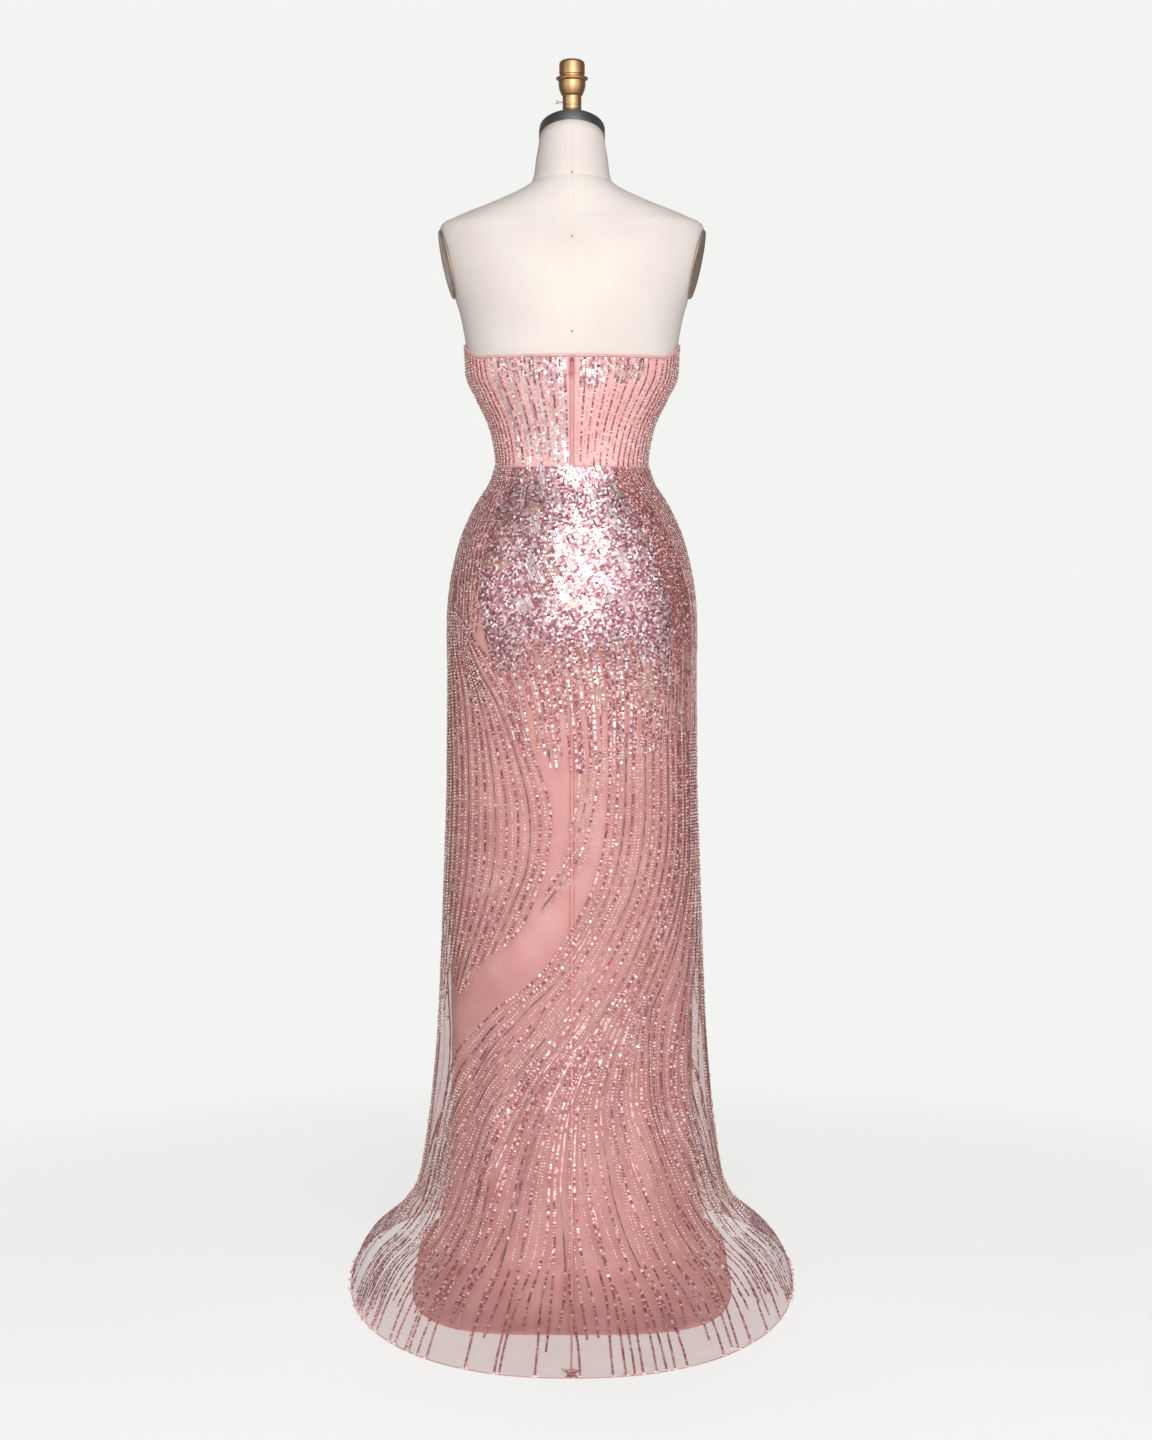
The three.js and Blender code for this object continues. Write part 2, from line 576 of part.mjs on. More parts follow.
const boxAt = (width, depth, height, x, y, z) => new THREE.BoxGeometry(width, depth, height).translate(x, y, z);
function slider() {
  const ear = (SLIDER.width - PULL.width - 2 * PULL.gap) / 2;
  const earX = (SLIDER.width - ear) / 2;
  const reach = PIN_Y + SLIDER.reach - ZIP_FACE;
  const plate = boxAt(SLIDER.width, SLIDER.depth, SLIDER.height, 0, ZIP_FACE + SLIDER.depth / 2, PIN_Z);
  const ears = [-1, 1].map((side) => boxAt(ear, reach, SLIDER.ear, side * earX, ZIP_FACE + reach / 2, PIN_Z));
  const pin = new THREE.CylinderGeometry(PULL.pin, PULL.pin, SLIDER.width - 0.4, 10).rotateZ(Math.PI / 2);
  pin.translate(0, PIN_Y, PIN_Z);
  const parts = [plate, ...ears, pin].map(solidOf);
  return geometryOf(parts.reduce((sum, part) => sum.add(part)));
}
// The pull: an eye round the pin and a flat tongue that hangs from it.
function pull() {
  const eye = new THREE.CylinderGeometry(PULL.rim, PULL.rim, PULL.width, 20).rotateZ(Math.PI / 2);
  const hole = new THREE.CylinderGeometry(PULL.eye, PULL.eye, PULL.width + 2, 20).rotateZ(Math.PI / 2);
  const half = PULL.width / 2;
  const outline = new THREE.Shape();
  outline.moveTo(-half, -PULL.eye - 0.2);
  outline.lineTo(-PULL.tip, -PULL.length + PULL.tip);
  outline.absarc(0, -PULL.length + PULL.tip, PULL.tip, Math.PI, 2 * Math.PI, false);
  outline.lineTo(half, -PULL.eye - 0.2);
  const cut = { depth: PULL.thickness, bevelEnabled: false, curveSegments: 10 };
  const tongue = new THREE.ExtrudeGeometry(outline, cut);
  tongue.rotateX(Math.PI / 2).translate(0, PULL.thickness / 2, 0);
  return geometryOf(solidOf(eye).add(solidOf(tongue)).subtract(solidOf(hole))).translate(0, PIN_Y, PIN_Z);
}

// Materials
const finish = (color, roughness, metalness, extra = {}) =>
  new THREE.MeshStandardMaterial({ color, roughness, metalness, side: THREE.DoubleSide, ...extra });
const BEADED = finish("#c98d8f", 0.45, 0.25);
const SHEER = finish("#cfb3ae", 0.6, 0, { transparent: true, opacity: 0.45 });
const SATIN = finish("#d99c9a", 0.55, 0);
const COIL = finish("#dba3a1", 0.5, 0);
const CANVAS = finish("#ebe1da", 0.9, 0);
const STEEL = finish("#6f6f72", 0.35, 1);
const PLATE = finish("#6d5a48", 0.45, 0.6);
const BRASS = finish("#b98d51", 0.35, 1);
const IRON = finish("#2b2b2d", 0.55, 0.6);

const gown = new THREE.Group();
const form = new THREE.Group();
const add = (group, name, geometry, material) => {
  const mesh = new THREE.Mesh(geometry, material);
  mesh.name = name;
  group.add(mesh);
};

add(gown, "bodice_front", bodicePanel(LEFT_SIDE, RIGHT_SIDE, seam, seam), BEADED);
add(gown, "bodice_back_left", bodicePanel(BACK, LEFT_SIDE, zipOpening, seam), BEADED);
add(gown, "bodice_back_right", bodicePanel(RIGHT_SIDE, FULL, seam, zipOpening), BEADED);
add(gown, "neckline_binding", binding(), SATIN);
for (const [name, layer, material] of [
  ["overlay", OVERLAY, SHEER],
  ["lining", LINING, SATIN],
]) {
  add(gown, `${name}_front`, skirtPanel(layer, LEFT_SIDE, RIGHT_SIDE, seam, seam), material);
  add(gown, `${name}_back_left`, skirtPanel(layer, BACK, LEFT_SIDE, zipOpening, seam), material);
  add(gown, `${name}_back_right`, skirtPanel(layer, RIGHT_SIDE, FULL, seam, zipOpening), material);
}
const zipFace = { width: ZIP_WIDTH, offset: EASE, thickness: ZIP_THICKNESS, rows: 16 };
add(gown, "zip_tape", backStrip({ ...zipFace, bottom: ZIP_BOTTOM, top: ZIP_TOP }), COIL);
add(gown, "zip_slider", slider(), COIL);
add(gown, "zip_pull", pull(), COIL);

add(form, "form_torso", torso(), CANVAS);
for (const [name, side] of [
  ["left", 1],
  ["right", -1],
]) {
  const plate = armOval(side, ARM_PLATE.high, ARM_PLATE.deep, SEAM_GAP, SEAM_GAP + ARM_PLATE.thickness);
  add(form, `arm_plate_${name}`, plate, PLATE);
}
add(form, "neck_cap", neckCap(), STEEL);
add(form, "fitting_body", fittingBody(), BRASS);
add(form, "fitting_ring", fittingRing(), BRASS);
add(form, "fitting_dome", fittingDome(), BRASS);
add(form, "fitting_screw", fittingScrew(), BRASS);
add(form, "stand_pole", pole(), STEEL);
add(form, "stand_hub", hub(), IRON);
add(form, "stand_foot", foot(), IRON);

const model = new THREE.Group();
model.add(gown, form);
export default model;
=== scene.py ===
"""A strapless evening gown of beaded net over pink satin, on a limbless dress form.

Lengths in the tables are millimetres and angles are degrees, counted from the middle of the back towards +X.
The meshes are metres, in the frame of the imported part: +Z is up, the front faces -Y, the train runs to +Y.
"""

import logging
import math
from collections.abc import Callable
from dataclasses import dataclass, field
from enum import Enum

import bmesh
import bpy
import numpy as np
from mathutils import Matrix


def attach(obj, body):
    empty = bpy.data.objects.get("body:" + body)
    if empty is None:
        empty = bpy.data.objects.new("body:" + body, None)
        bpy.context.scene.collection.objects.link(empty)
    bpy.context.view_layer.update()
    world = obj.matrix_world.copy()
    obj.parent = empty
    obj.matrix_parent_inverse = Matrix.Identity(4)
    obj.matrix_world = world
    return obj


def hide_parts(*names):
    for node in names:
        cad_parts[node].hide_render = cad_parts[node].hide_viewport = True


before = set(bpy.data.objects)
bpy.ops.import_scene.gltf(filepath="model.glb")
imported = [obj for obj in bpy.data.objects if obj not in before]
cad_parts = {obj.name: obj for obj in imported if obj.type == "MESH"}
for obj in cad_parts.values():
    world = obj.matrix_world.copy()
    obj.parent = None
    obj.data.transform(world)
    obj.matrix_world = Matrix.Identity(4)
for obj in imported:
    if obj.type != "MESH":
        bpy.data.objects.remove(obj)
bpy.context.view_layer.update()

LOG = logging.getLogger("gown")
MM = 0.001
FULL = 360.0

# Heights and seams

WAIST = 1156.0
FORM_BOTTOM = 850.0
NECK_TOP = 1628.0
NECKLINE_BACK = 1310.0
NECKLINE_SIDE = 1330.0
NECKLINE_FRONT = 1368.0
NECKLINE_DIP = 12.0
ZIP_BOTTOM = 1021.0
ZIP_OPENING = 5.2
SEAM_GAP = 0.3
EASE = 0.9
BODICE_THICKNESS = 2.0
LINING_THICKNESS = 1.0
OVERLAY_THICKNESS = 1.0
OVERLAY_OFFSET = EASE + LINING_THICKNESS + 0.6
BINDING_HEIGHT = 4.0
BEAD_LIFT = 0.7  # from the cloth's face to the middle of a bead
BEAD_LOWEST = 2.2  # the least height of a bead's middle over the floor

# The form's rings: height, half width, depth behind, depth before, and how much a ring rises to the back

FIGURE_COLUMNS = ("z", "half", "back", "front", "lean")
FIGURE_ROWS = (
    (FORM_BOTTOM, 175, 116, 98, 0),
    (939, 176, 127.5, 104, 0),
    (982, 172.5, 127, 105, 0),
    (1025, 164.5, 120, 104, 0),
    (1069, 152, 107, 102, 0),
    (1091, 141, 98, 100, 0),
    (1113, 128.5, 88, 97.5, 0),
    (1134, 115, 79, 94.5, 0),
    (WAIST, 107.5, 73.5, 92, 0),
    (1178, 107.5, 72, 91, 0),
    (1221, 117, 79, 95, 0),
    (1264, 137, 91, 104, 0),
    (1286, 148, 96, 109, 0),
    (1332, 152, 102, 114, 0),
    (1384, 162.5, 105, 108, 0),
    (1436, 181.5, 103, 96, 0),
    (1471, 188.5, 97, 84, 0),
    (1494, 190.5, 88, 72, 0),
    (1505, 186.5, 84, 67, 0),
    (1514, 170, 80, 62.5, 0),
    (1531, 128.6, 75, 56, 0),
    (1549, 84.5, 69, 52, 0.03),
    (1564, 58, 62, 50, 0.08),
    (1600, 51, 53, 49, 0.25),
    (NECK_TOP, 46.5, 50, 46.5, 0.385),
)

# The skirt layers below the form: half width, depths, heights at back, side and front, and squareness

HIP_HEIGHTS = (1134, 1113, 1091, 1060, 1020, 975, 925, 870)
FALL_COLUMNS = ("half", "back", "front", "z_back", "z_side", "z_front", "curve")
LINING_FALL = (
    (176, 119, 102, 790, 790, 790, 1),
    (176, 122, 111, 580, 580, 580, 1),
    (174, 131, 117, 430, 430, 430, 1),
    (173, 154, 126, 290, 290, 290, 1),
    (178, 192, 136, 175, 180, 200, 0.92),
    (188, 240, 144, 88, 90, 130, 0.8),
    (202, 300, 147, 26, 28, 85, 0.7),
    (214, 346, 149, 6, 7, 70, 0.62),
    (226, 397, 150, 0, 0, 62, 0.56),
)
OVERLAY_FALL = (
    (176, 119.5, 102.5, 790, 790, 790, 1),
    (177, 120.5, 107, 700, 700, 700, 1),
    (180.5, 125, 113, 600, 600, 600, 1),
    (184.5, 134, 121, 500, 500, 500, 1),
    (188.5, 148, 131, 400, 400, 400, 1),
    (193.5, 168, 142, 310, 310, 310, 1),
    (199.5, 190, 153, 235, 235, 240, 1),
    (208, 217, 166, 172, 172, 185, 1),
    (222, 249, 180, 116, 118, 142, 1),
    (250, 288, 196, 68, 80, 108, 0.98),
    (287, 330, 212, 34, 50, 82, 0.96),
    (305, 380, 226, 12, 25, 65, 0.94),
    (313, 450, 238, 2.5, 6, 54, 0.92),
    (316, 532, 245, 0, 0, 50, 0.9),
    (316.5, 605, 250, 0, 0, 47, 0.89),
)

# Soft folds of the overlay: angle, rise, width, and the height they start from

FOLD_COLUMNS = ("at", "rise", "wide", "top")
FOLD_ROWS = (
    (11, 9, 7, 470),
    (31, 12, 7.5, 560),
    (52, 10, 8, 610),
    (74, 7, 7, 520),
    (103, 8, 8, 500),
    (131, 11, 9, 560),
    (160, 9, 8, 470),
    (190, 10, 9, 540),
    (219, 9, 8, 480),
    (246, 10, 8, 560),
    (287, 8, 7, 520),
    (308, 11, 8, 600),
    (331, 10, 7, 500),
    (349, 8, 7, 440),
)
FOLD_FULLEST = 190.0
FOLD_LOWEST = 8.0


def linear(code: str, alpha: float = 1.0) -> tuple[float, float, float, float]:
    """Turn an sRGB hex colour into linear light.

    Args:
        code: six hex digits, with or without a leading mark.
        alpha: the fourth value.

    Returns:
        Red, green, blue and alpha.
    """
    channels = (int(code.lstrip("#")[i : i + 2], 16) / 255 for i in (0, 2, 4))
    straight = (c / 12.92 if c <= 0.04045 else ((c + 0.055) / 1.055) ** 2.4 for c in channels)
    return (*straight, alpha)


def connect(tree: bpy.types.NodeTree, node: bpy.types.Node, inputs: dict) -> None:
    """Give a node's inputs what they take.

    Args:
        tree: the tree that holds the node.
        node: the node.
        inputs: input name or number to a socket to link from, or to a plain value.
    """
    for name, source in inputs.items():
        if isinstance(source, bpy.types.NodeSocket):
            tree.links.new(source, node.inputs[name])
        else:
            node.inputs[name].default_value = source


def add_node(
    tree: bpy.types.NodeTree, kind: str, inputs: dict | None = None, stops: tuple = (), **settings
) -> bpy.types.Node:
    """Add a node with its settings and what its inputs take.

    Args:
        tree: the tree that gets the node.
        kind: the node's type name.
        inputs: as connect takes them.
        stops: pairs of position and hex colour, for a colour ramp.
        **settings: the node's own properties.

    Returns:
        The new node.
    """
    node = tree.nodes.new(kind)
    for name, value in settings.items():
        setattr(node, name, value)
    connect(tree, node, inputs or {})
    if stops:
        elements = node.color_ramp.elements
        while len(elements) < len(stops):
            elements.new(1)
        for element, (position, code) in zip(elements, stops):
            element.position = position
            element.color = linear(code)
    return node


def smooth(low: float, high: float, value: np.ndarray) -> np.ndarray:
    """Return a soft step from 0 at low to 1 at high."""
    t = np.clip((value - low) / (high - low), 0, 1)
    return t * t * (3 - 2 * t)


# Shapes


class Table:
    """A table of numbers with named columns, read on a smooth curve through its rows."""

    def __init__(self, columns: tuple[str, ...], rows: tuple[tuple[float, ...], ...]) -> None:
        """Keep the rows as one array.

        Args:
            columns: the columns' names.
            rows: a value for each column.
        """
        self.columns = columns
        self.rows = np.array(rows, dtype=float)

    def column(self, name: str) -> np.ndarray:
        """Return one whole column."""
        return self.rows[:, self.columns.index(name)]

    def at(self, name: str, place: np.ndarray) -> np.ndarray:
        """Read a column between its rows.

        Args:
            name: the column.
            place: row numbers, fractions included.

        Returns:
            The column's values there.
        """
        values = self.column(name)
        last = len(values) - 1
        i = np.clip(np.floor(place), 0, last - 1).astype(int)
        t = place - i
        a, b, c, d = (values[np.clip(i + k, 0, last)] for k in (-1, 0, 1, 2))
        t2, t3 = t * t, t * t * t
        ease_in, ease_out = (c - a) / 2, (d - b) / 2
        ends = (2 * t3 - 3 * t2 + 1) * b + (t3 - 2 * t2 + t) * ease_in
        return ends + (3 * t2 - 2 * t3) * c + (t3 - t2) * ease_out


@dataclass(frozen=True)
class Bust:
    """The bust that stands before the form's front."""

    x: float = 72.0
    z: float = 1303.0
    rise: float = 32.0
    wide: float = 56.0
    high: float = 56.0

    def rise_at(self, x: np.ndarray, z: np.ndarray) -> np.ndarray:
        """Return how far it stands out at a place."""
        across, up = (np.abs(x) - self.x) / self.wide, (z - self.z) / self.high
        return self.rise * np.exp(-(across**2) - up**2)


class Figure:
    """The skin of the dress form, by angle and height."""

    def __init__(self) -> None:
        """Read the form's rings."""
        self.table = Table(FIGURE_COLUMNS, FIGURE_ROWS)
        self.bust = Bust()

    def place(self, z: np.ndarray) -> np.ndarray:
        """Return where heights lie along the rings."""
        heights = self.table.column("z")
        return np.interp(z, heights, np.arange(len(heights)))

    def point(self, angle: np.ndarray, z: np.ndarray) -> np.ndarray:
        """Return points of the skin.

        Args:
            angle: degrees round the form.
            z: height of the ring.

        Returns:
            Points in millimetres, in the last axis.
        """
        angle, z = np.broadcast_arrays(np.asarray(angle, float), np.asarray(z, float))
        place = self.place(z)
        s, c = np.sin(np.radians(angle)), np.cos(np.radians(angle))
        x = self.table.at("half", place) * s
        depth = np.where(c > 0, self.table.at("back", place), self.table.at("front", place))
        y = c * depth - self.bust.rise_at(x, z) * smooth(0, 0.5, -c)
        return np.stack([x, y, z + self.table.at("lean", place) * y], axis=-1)


class Skirt:
    """A layer of the skirt, by angle and place along its rows. The first rows lie on the form."""

    def __init__(self, figure: Figure, fall: tuple[tuple[float, ...], ...], folded: bool) -> None:
        """Join the hips' rings to the layer's own fall.

        Args:
            figure: the form under it.
            fall: rows of the layer below the form.
            folded: whether the layer has the soft folds.
        """
        hips = []
        for z in (WAIST - SEAM_GAP / 2, *HIP_HEIGHTS):
            place = figure.place(np.array(z))
            half, back, front = (float(figure.table.at(name, place)) for name in ("half", "back", "front"))
            hips.append((half, back, front, z, z, z, 1))
        self.table = Table(FALL_COLUMNS, (*hips, *fall))
        self.folds = Table(FOLD_COLUMNS, FOLD_ROWS) if folded else None
        self.last = len(self.table.rows) - 1
        heights = self.table.column("z_back").copy()
        on_floor = np.flatnonzero(heights <= 0)
        heights[on_floor] = -np.linspace(1 / len(on_floor), 1, len(on_floor))
        self.levels = heights

    def place(self, level: np.ndarray) -> np.ndarray:
        """Return where a level lies along the rows: a height at the back, or 0 to -1 on the floor."""
        return np.interp(-np.asarray(level, float), -self.levels, np.arange(self.last + 1))

    def rise(self, angle: np.ndarray, z: np.ndarray) -> np.ndarray:
        """Return how far the folds and creases lift the cloth.

        Args:
            angle: degrees round the layer.
            z: height over the floor.

        Returns:
            Millimetres outwards.
        """
        if self.folds is None:
            return np.zeros_like(z)
        strength = np.where(z > FOLD_FULLEST, 1, smooth(FOLD_LOWEST, FOLD_FULLEST, z))
        total = np.zeros_like(z)
        for at, rise, wide, top in self.folds.rows:
            away = (angle - at + 540) % FULL - 180
            total += rise * strength * (1 - smooth(FOLD_FULLEST, top, z)) * np.exp(-((away / wide) ** 2))
        low = 1 - smooth(120, 420, z)
        turn = np.radians(angle)
        fine = np.sin(23 * turn + 1.1) * 0.9 + np.sin(37 * turn + z / 160) * 0.7
        fine += np.sin(59 * turn + 2.3) * 0.4
        return total + low * strength * fine

    def point(self, angle: np.ndarray, place: np.ndarray) -> np.ndarray:
        """Return points of the layer.

        Args:
            angle: degrees round it.
            place: row numbers, fractions included.

        Returns:
            Points in millimetres, in the last axis.
        """
        angle, place = np.broadcast_arrays(np.asarray(angle, float), np.asarray(place, float))
        curve = self.table.at("curve", place)
        s, c = np.sin(np.radians(angle)), np.cos(np.radians(angle))
        s, c = np.sign(s) * np.abs(s) ** curve, np.sign(c) * np.abs(c) ** curve
        depth = np.where(c > 0, self.table.at("back", place), self.table.at("front", place))
        end = np.where(c > 0, self.table.at("z_back", place), self.table.at("z_front", place))
        share = np.where(c > 0, c * c, np.abs(c) ** 1.3)
        side = self.table.at("z_side", place)
        z = np.maximum(0, side + (end - side) * share)
        rise = self.rise(angle, z)
        return np.stack([self.table.at("half", place) * s + rise * s, depth * c + rise * c, z], axis=-1)

    def hold(self, place: np.ndarray) -> np.ndarray:
        """Return how much of the layer's offset is left, which fades on the way to the floor."""
        return 1 - smooth(len(HIP_HEIGHTS), self.last - 3, place)


Surface = Callable[[np.ndarray, np.ndarray], np.ndarray]
OUTWARD_RISE = 0.6  # how much the direction that counts as outward also rises


def normals(
    surface: Surface, angle: np.ndarray, place: np.ndarray, step: float, low: float, high: float
) -> np.ndarray:
    """Return a surface's outward normals.

    Args:
        surface: points by angle and place.
        angle: degrees.
        place: heights or row numbers.
        step: how far along to look for the slope.
        low: least place.
        high: greatest place.

    Returns:
        Unit vectors, away from the form's axis, or upwards on the floor.
    """
    turn = surface(angle + 0.5, place) - surface(angle - 0.5, place)
    ahead, behind = np.clip(place + step, low, high), np.clip(place - step, low, high)
    along = surface(angle, ahead) - surface(angle, behind)
    out = np.cross(turn, along)
    out /= np.maximum(np.linalg.norm(out, axis=-1, keepdims=True), 1e-9)
    turned_by = np.radians(angle)
    radial = np.stack([np.sin(turned_by), np.cos(turned_by), np.full_like(angle, OUTWARD_RISE)], axis=-1)
    return out * np.sign(np.sum(out * radial, axis=-1, keepdims=True))


FIGURE = Figure()
LINING = Skirt(FIGURE, LINING_FALL, folded=False)
OVERLAY = Skirt(FIGURE, OVERLAY_FALL, folded=True)


def figure_skin(angle: np.ndarray, z: np.ndarray, offset: float) -> tuple[np.ndarray, np.ndarray]:
    """Return points at an offset from the form's skin, and the normals there.

    Args:
        angle: degrees round the form.
        z: height of the ring.
        offset: millimetres outwards.

    Returns:
        Points and unit vectors.
    """
    angle, z = np.broadcast_arrays(np.asarray(angle, float), np.asarray(z, float))
    out = normals(FIGURE.point, angle, z, 3, FORM_BOTTOM, NECK_TOP)
    return FIGURE.point(angle, z) + out * offset, out


def skirt_skin(layer: Skirt, angle: np.ndarray, place: np.ndarray) -> tuple[np.ndarray, np.ndarray]:
    """Return points of a skirt layer's surface, and the normals there.

    Args:
        layer: which one.
        angle: degrees round it.
        place: row numbers, fractions included.

    Returns:
        Points and unit vectors.
    """
    angle, place = np.broadcast_arrays(np.asarray(angle, float), np.asarray(place, float))
    out = normals(layer.point, angle, place, 0.2, 0, layer.last)
    return layer.point(angle, place), out


def neckline(angle: np.ndarray) -> np.ndarray:
    """Return the height of the bodice's top edge.

    Args:
        angle: degrees round the form.

    Returns:
        Heights in millimetres.
    """
    c = np.cos(np.radians(angle))
    dip = NECKLINE_DIP * np.exp(-(((angle % FULL - 180) / 17) ** 2))
    back = NECKLINE_SIDE + (NECKLINE_BACK - NECKLINE_SIDE) * smooth(0, 0.55, c)
    front = NECKLINE_SIDE + (NECKLINE_FRONT - NECKLINE_SIDE) * smooth(0, 0.85, -c)
    return np.where(c > 0, back, front) - dip


# Meshes


Vector = tuple[float, float, float] | np.ndarray


def new_object(name: str, mesh: bpy.types.Mesh) -> bpy.types.Object:
    """Put a mesh in the scene as an object at the origin.

    Args:
        name: the object's name.
        mesh: its mesh.

    Returns:
        The new object.
    """
    made = bpy.data.objects.new(name, mesh)
    bpy.context.scene.collection.objects.link(made)
    return made


def cut_coordinates(points: np.ndarray) -> np.ndarray:
    """Measure a grid of points along its rows and columns, in metres, as if the cloth lay flat.

    Args:
        points: millimetres, as rows by columns by three.

    Returns:
        Across from the middle column, and down as a negative number, in the last axis.
    """
    across = np.linalg.norm(np.diff(points, axis=1), axis=-1).cumsum(axis=1)
    across = np.pad(across, ((0, 0), (1, 0)))
    across -= across[:, [points.shape[1] // 2]]
    down = np.linalg.norm(np.diff(points, axis=0), axis=-1).cumsum(axis=0)
    down = np.pad(down, ((1, 0), (0, 0)))
    return np.stack([across, -down], axis=-1) * MM


def grid_mesh(name: str, points: np.ndarray, closed: bool = False) -> bpy.types.Object:
    """Make a smooth quad mesh from a grid of points, with a UV map in metres.

    Args:
        name: the object's name.
        points: millimetres, as rows by columns by three.
        closed: whether the last column meets the first.

    Returns:
        The new object.
    """
    rows, columns = points.shape[:2]
    spans = columns if closed else columns - 1
    i, j = np.meshgrid(np.arange(rows - 1), np.arange(spans), indexing="ij")
    k = (j + 1) % columns
    a, b = i * columns, (i + 1) * columns
    faces = np.stack([a + j, a + k, b + k, b + j], axis=-1).reshape(-1, 4)
    mesh = bpy.data.meshes.new(name)
    mesh.from_pydata((points.reshape(-1, 3) * MM).tolist(), [], faces.tolist())
    around = np.concatenate([points, points[:, :1]], axis=1) if closed else points
    cut = cut_coordinates(around)
    corners = np.stack([cut[i, j], cut[i, j + 1], cut[i + 1, j + 1], cut[i + 1, j]], axis=2)
    layer = mesh.uv_layers.new(name="cut")
    layer.uv.foreach_set("vector", corners.ravel().astype(np.float32))
    mesh.shade_smooth()
    return new_object(name, mesh)


def face_outwards(piece: bpy.types.Object, toward: Callable[[np.ndarray], np.ndarray]) -> None:
    """Turn an open sheet's faces the way that most of them should look.

    Args:
        piece: the sheet.
        toward: gives the outward direction at face centres.
    """
    mesh = piece.data
    centres = np.array([polygon.center for polygon in mesh.polygons])
    facing = np.array([polygon.normal for polygon in mesh.polygons])
    if np.sum(np.sign(np.sum(facing * toward(centres), axis=1))) < 0:
        mesh.flip_normals()


def away_from_axis(centres: np.ndarray) -> np.ndarray:
    """Return the direction away from the pole, with some rise.

    Args:
        centres: points in metres.

    Returns:
        One vector for each point.
    """
    flat = centres.copy()
    flat[:, 2] = 0
    flat /= np.maximum(np.linalg.norm(flat, axis=1, keepdims=True), 1e-9)
    flat[:, 2] = OUTWARD_RISE
    return flat


def give_thickness(piece: bpy.types.Object, thickness: float) -> None:
    """Make a sheet a wall that grows inwards, in millimetres.

    Args:
        piece: the sheet.
        thickness: of the wall.
    """
    wall = piece.modifiers.new("thickness", "SOLIDIFY")
    wall.thickness = thickness * MM
    wall.offset = -1
    wall.use_even_offset = False


def solid_from(name: str, points: list, faces: list, sharp: float = 35.0) -> bpy.types.Object:
    """Make a closed solid with outward faces, and keep its sharp edges.

    Args:
        name: the object's name.
        points: millimetres.
        faces: lists of point numbers.
        sharp: degrees past which an edge stays sharp.

    Returns:
        The new object.
    """
    work = bmesh.new()
    vertices = [work.verts.new([value * MM for value in point]) for point in points]
    for face in faces:
        work.faces.new([vertices[i] for i in face])
    bmesh.ops.remove_doubles(work, verts=work.verts, dist=1e-6)
    bmesh.ops.recalc_face_normals(work, faces=work.faces)
    mesh = bpy.data.meshes.new(name)
    work.to_mesh(mesh)
    work.free()
    mesh.set_sharp_from_angle(angle=math.radians(sharp))
    return new_object(name, mesh)


def tubes(name: str, rings: np.ndarray, sharp: float) -> bpy.types.Object:
    """Make closed tubes from rings of points.

    Args:
        name: the object's name.
        rings: millimetres, as tubes by rings by points by three.
        sharp: degrees past which an edge stays sharp.

    Returns:
        The new object.
    """
    number, length, count = rings.shape[:3]
    faces = []
    for start in range(0, number * length * count, length * count):
        for a in range(start, start + (length - 1) * count, count):
            b = a + count
            faces += [[a + j, a + (j + 1) % count, b + (j + 1) % count, b + j] for j in range(count)]
        last = start + (length - 1) * count
        faces += [list(range(start, start + count)), list(range(last, last + count))]
    return solid_from(name, rings.reshape(-1, 3).tolist(), faces, sharp)


def turned(
    name: str,
    profile: tuple,
    origin: Vector = (0, 0, 0),
    axes: tuple[Vector, Vector, Vector] = ((1, 0, 0), (0, 1, 0), (0, 0, 1)),
    segments: int = 64,
    sharp: float = 35.0,
) -> bpy.types.Object:
    """Turn a profile about an axis.

    Args:
        name: the object's name.
        profile: pairs of radius and height, from the axis to the axis.
        origin: where the axis starts.
        axes: two directions across, whose lengths make the section an oval, and the one along.
        segments: facets round it.
        sharp: degrees past which an edge stays sharp.

    Returns:
        The new object.
    """
    start, across, up, along = (np.array(vector, dtype=float) for vector in (origin, *axes))
    points, faces, ring_starts = [], [], []
    for radius, height in profile:
        ring_starts.append(len(points))
        for k in range(segments if radius else 1):
            turn = 2 * math.pi * k / segments
            rim = across * math.cos(turn) + up * math.sin(turn)
            points.append(start + along * height + rim * radius)
    for (r0, _), (r1, _), a, b in zip(profile, profile[1:], ring_starts, ring_starts[1:]):
        for k in range(segments):
            n = (k + 1) % segments
            low = [a + k, a + n] if r0 else [a]
            high = [b + n, b + k] if r1 else [b]
            if len(low) + len(high) > 2:
                faces.append(low + high)
    return solid_from(name, points, faces, sharp)


def bevelled(piece: bpy.types.Object, width: float, segments: int = 2) -> None:
    """Soften a piece's edges, in millimetres.

    Args:
        piece: a solid.
        width: of the bevel.
        segments: facets across it.
    """
    bevel = piece.modifiers.new("edge", "BEVEL")
    bevel.width = width * MM
    bevel.segments = segments
    bevel.limit_method = "ANGLE"
    bevel.angle_limit = math.radians(30)
    bevel.harden_normals = True


# Finishes


def new_material(name: str) -> tuple[bpy.types.Material, bpy.types.NodeTree, bpy.types.Node]:
    """Make a node material with an empty Principled shader.

    Args:
        name: what the material is.

    Returns:
        The material, its tree and the shader.
    """
    material = bpy.data.materials.new(name)
    material.use_nodes = True
    tree = material.node_tree
    return material, tree, tree.nodes["Principled BSDF"]


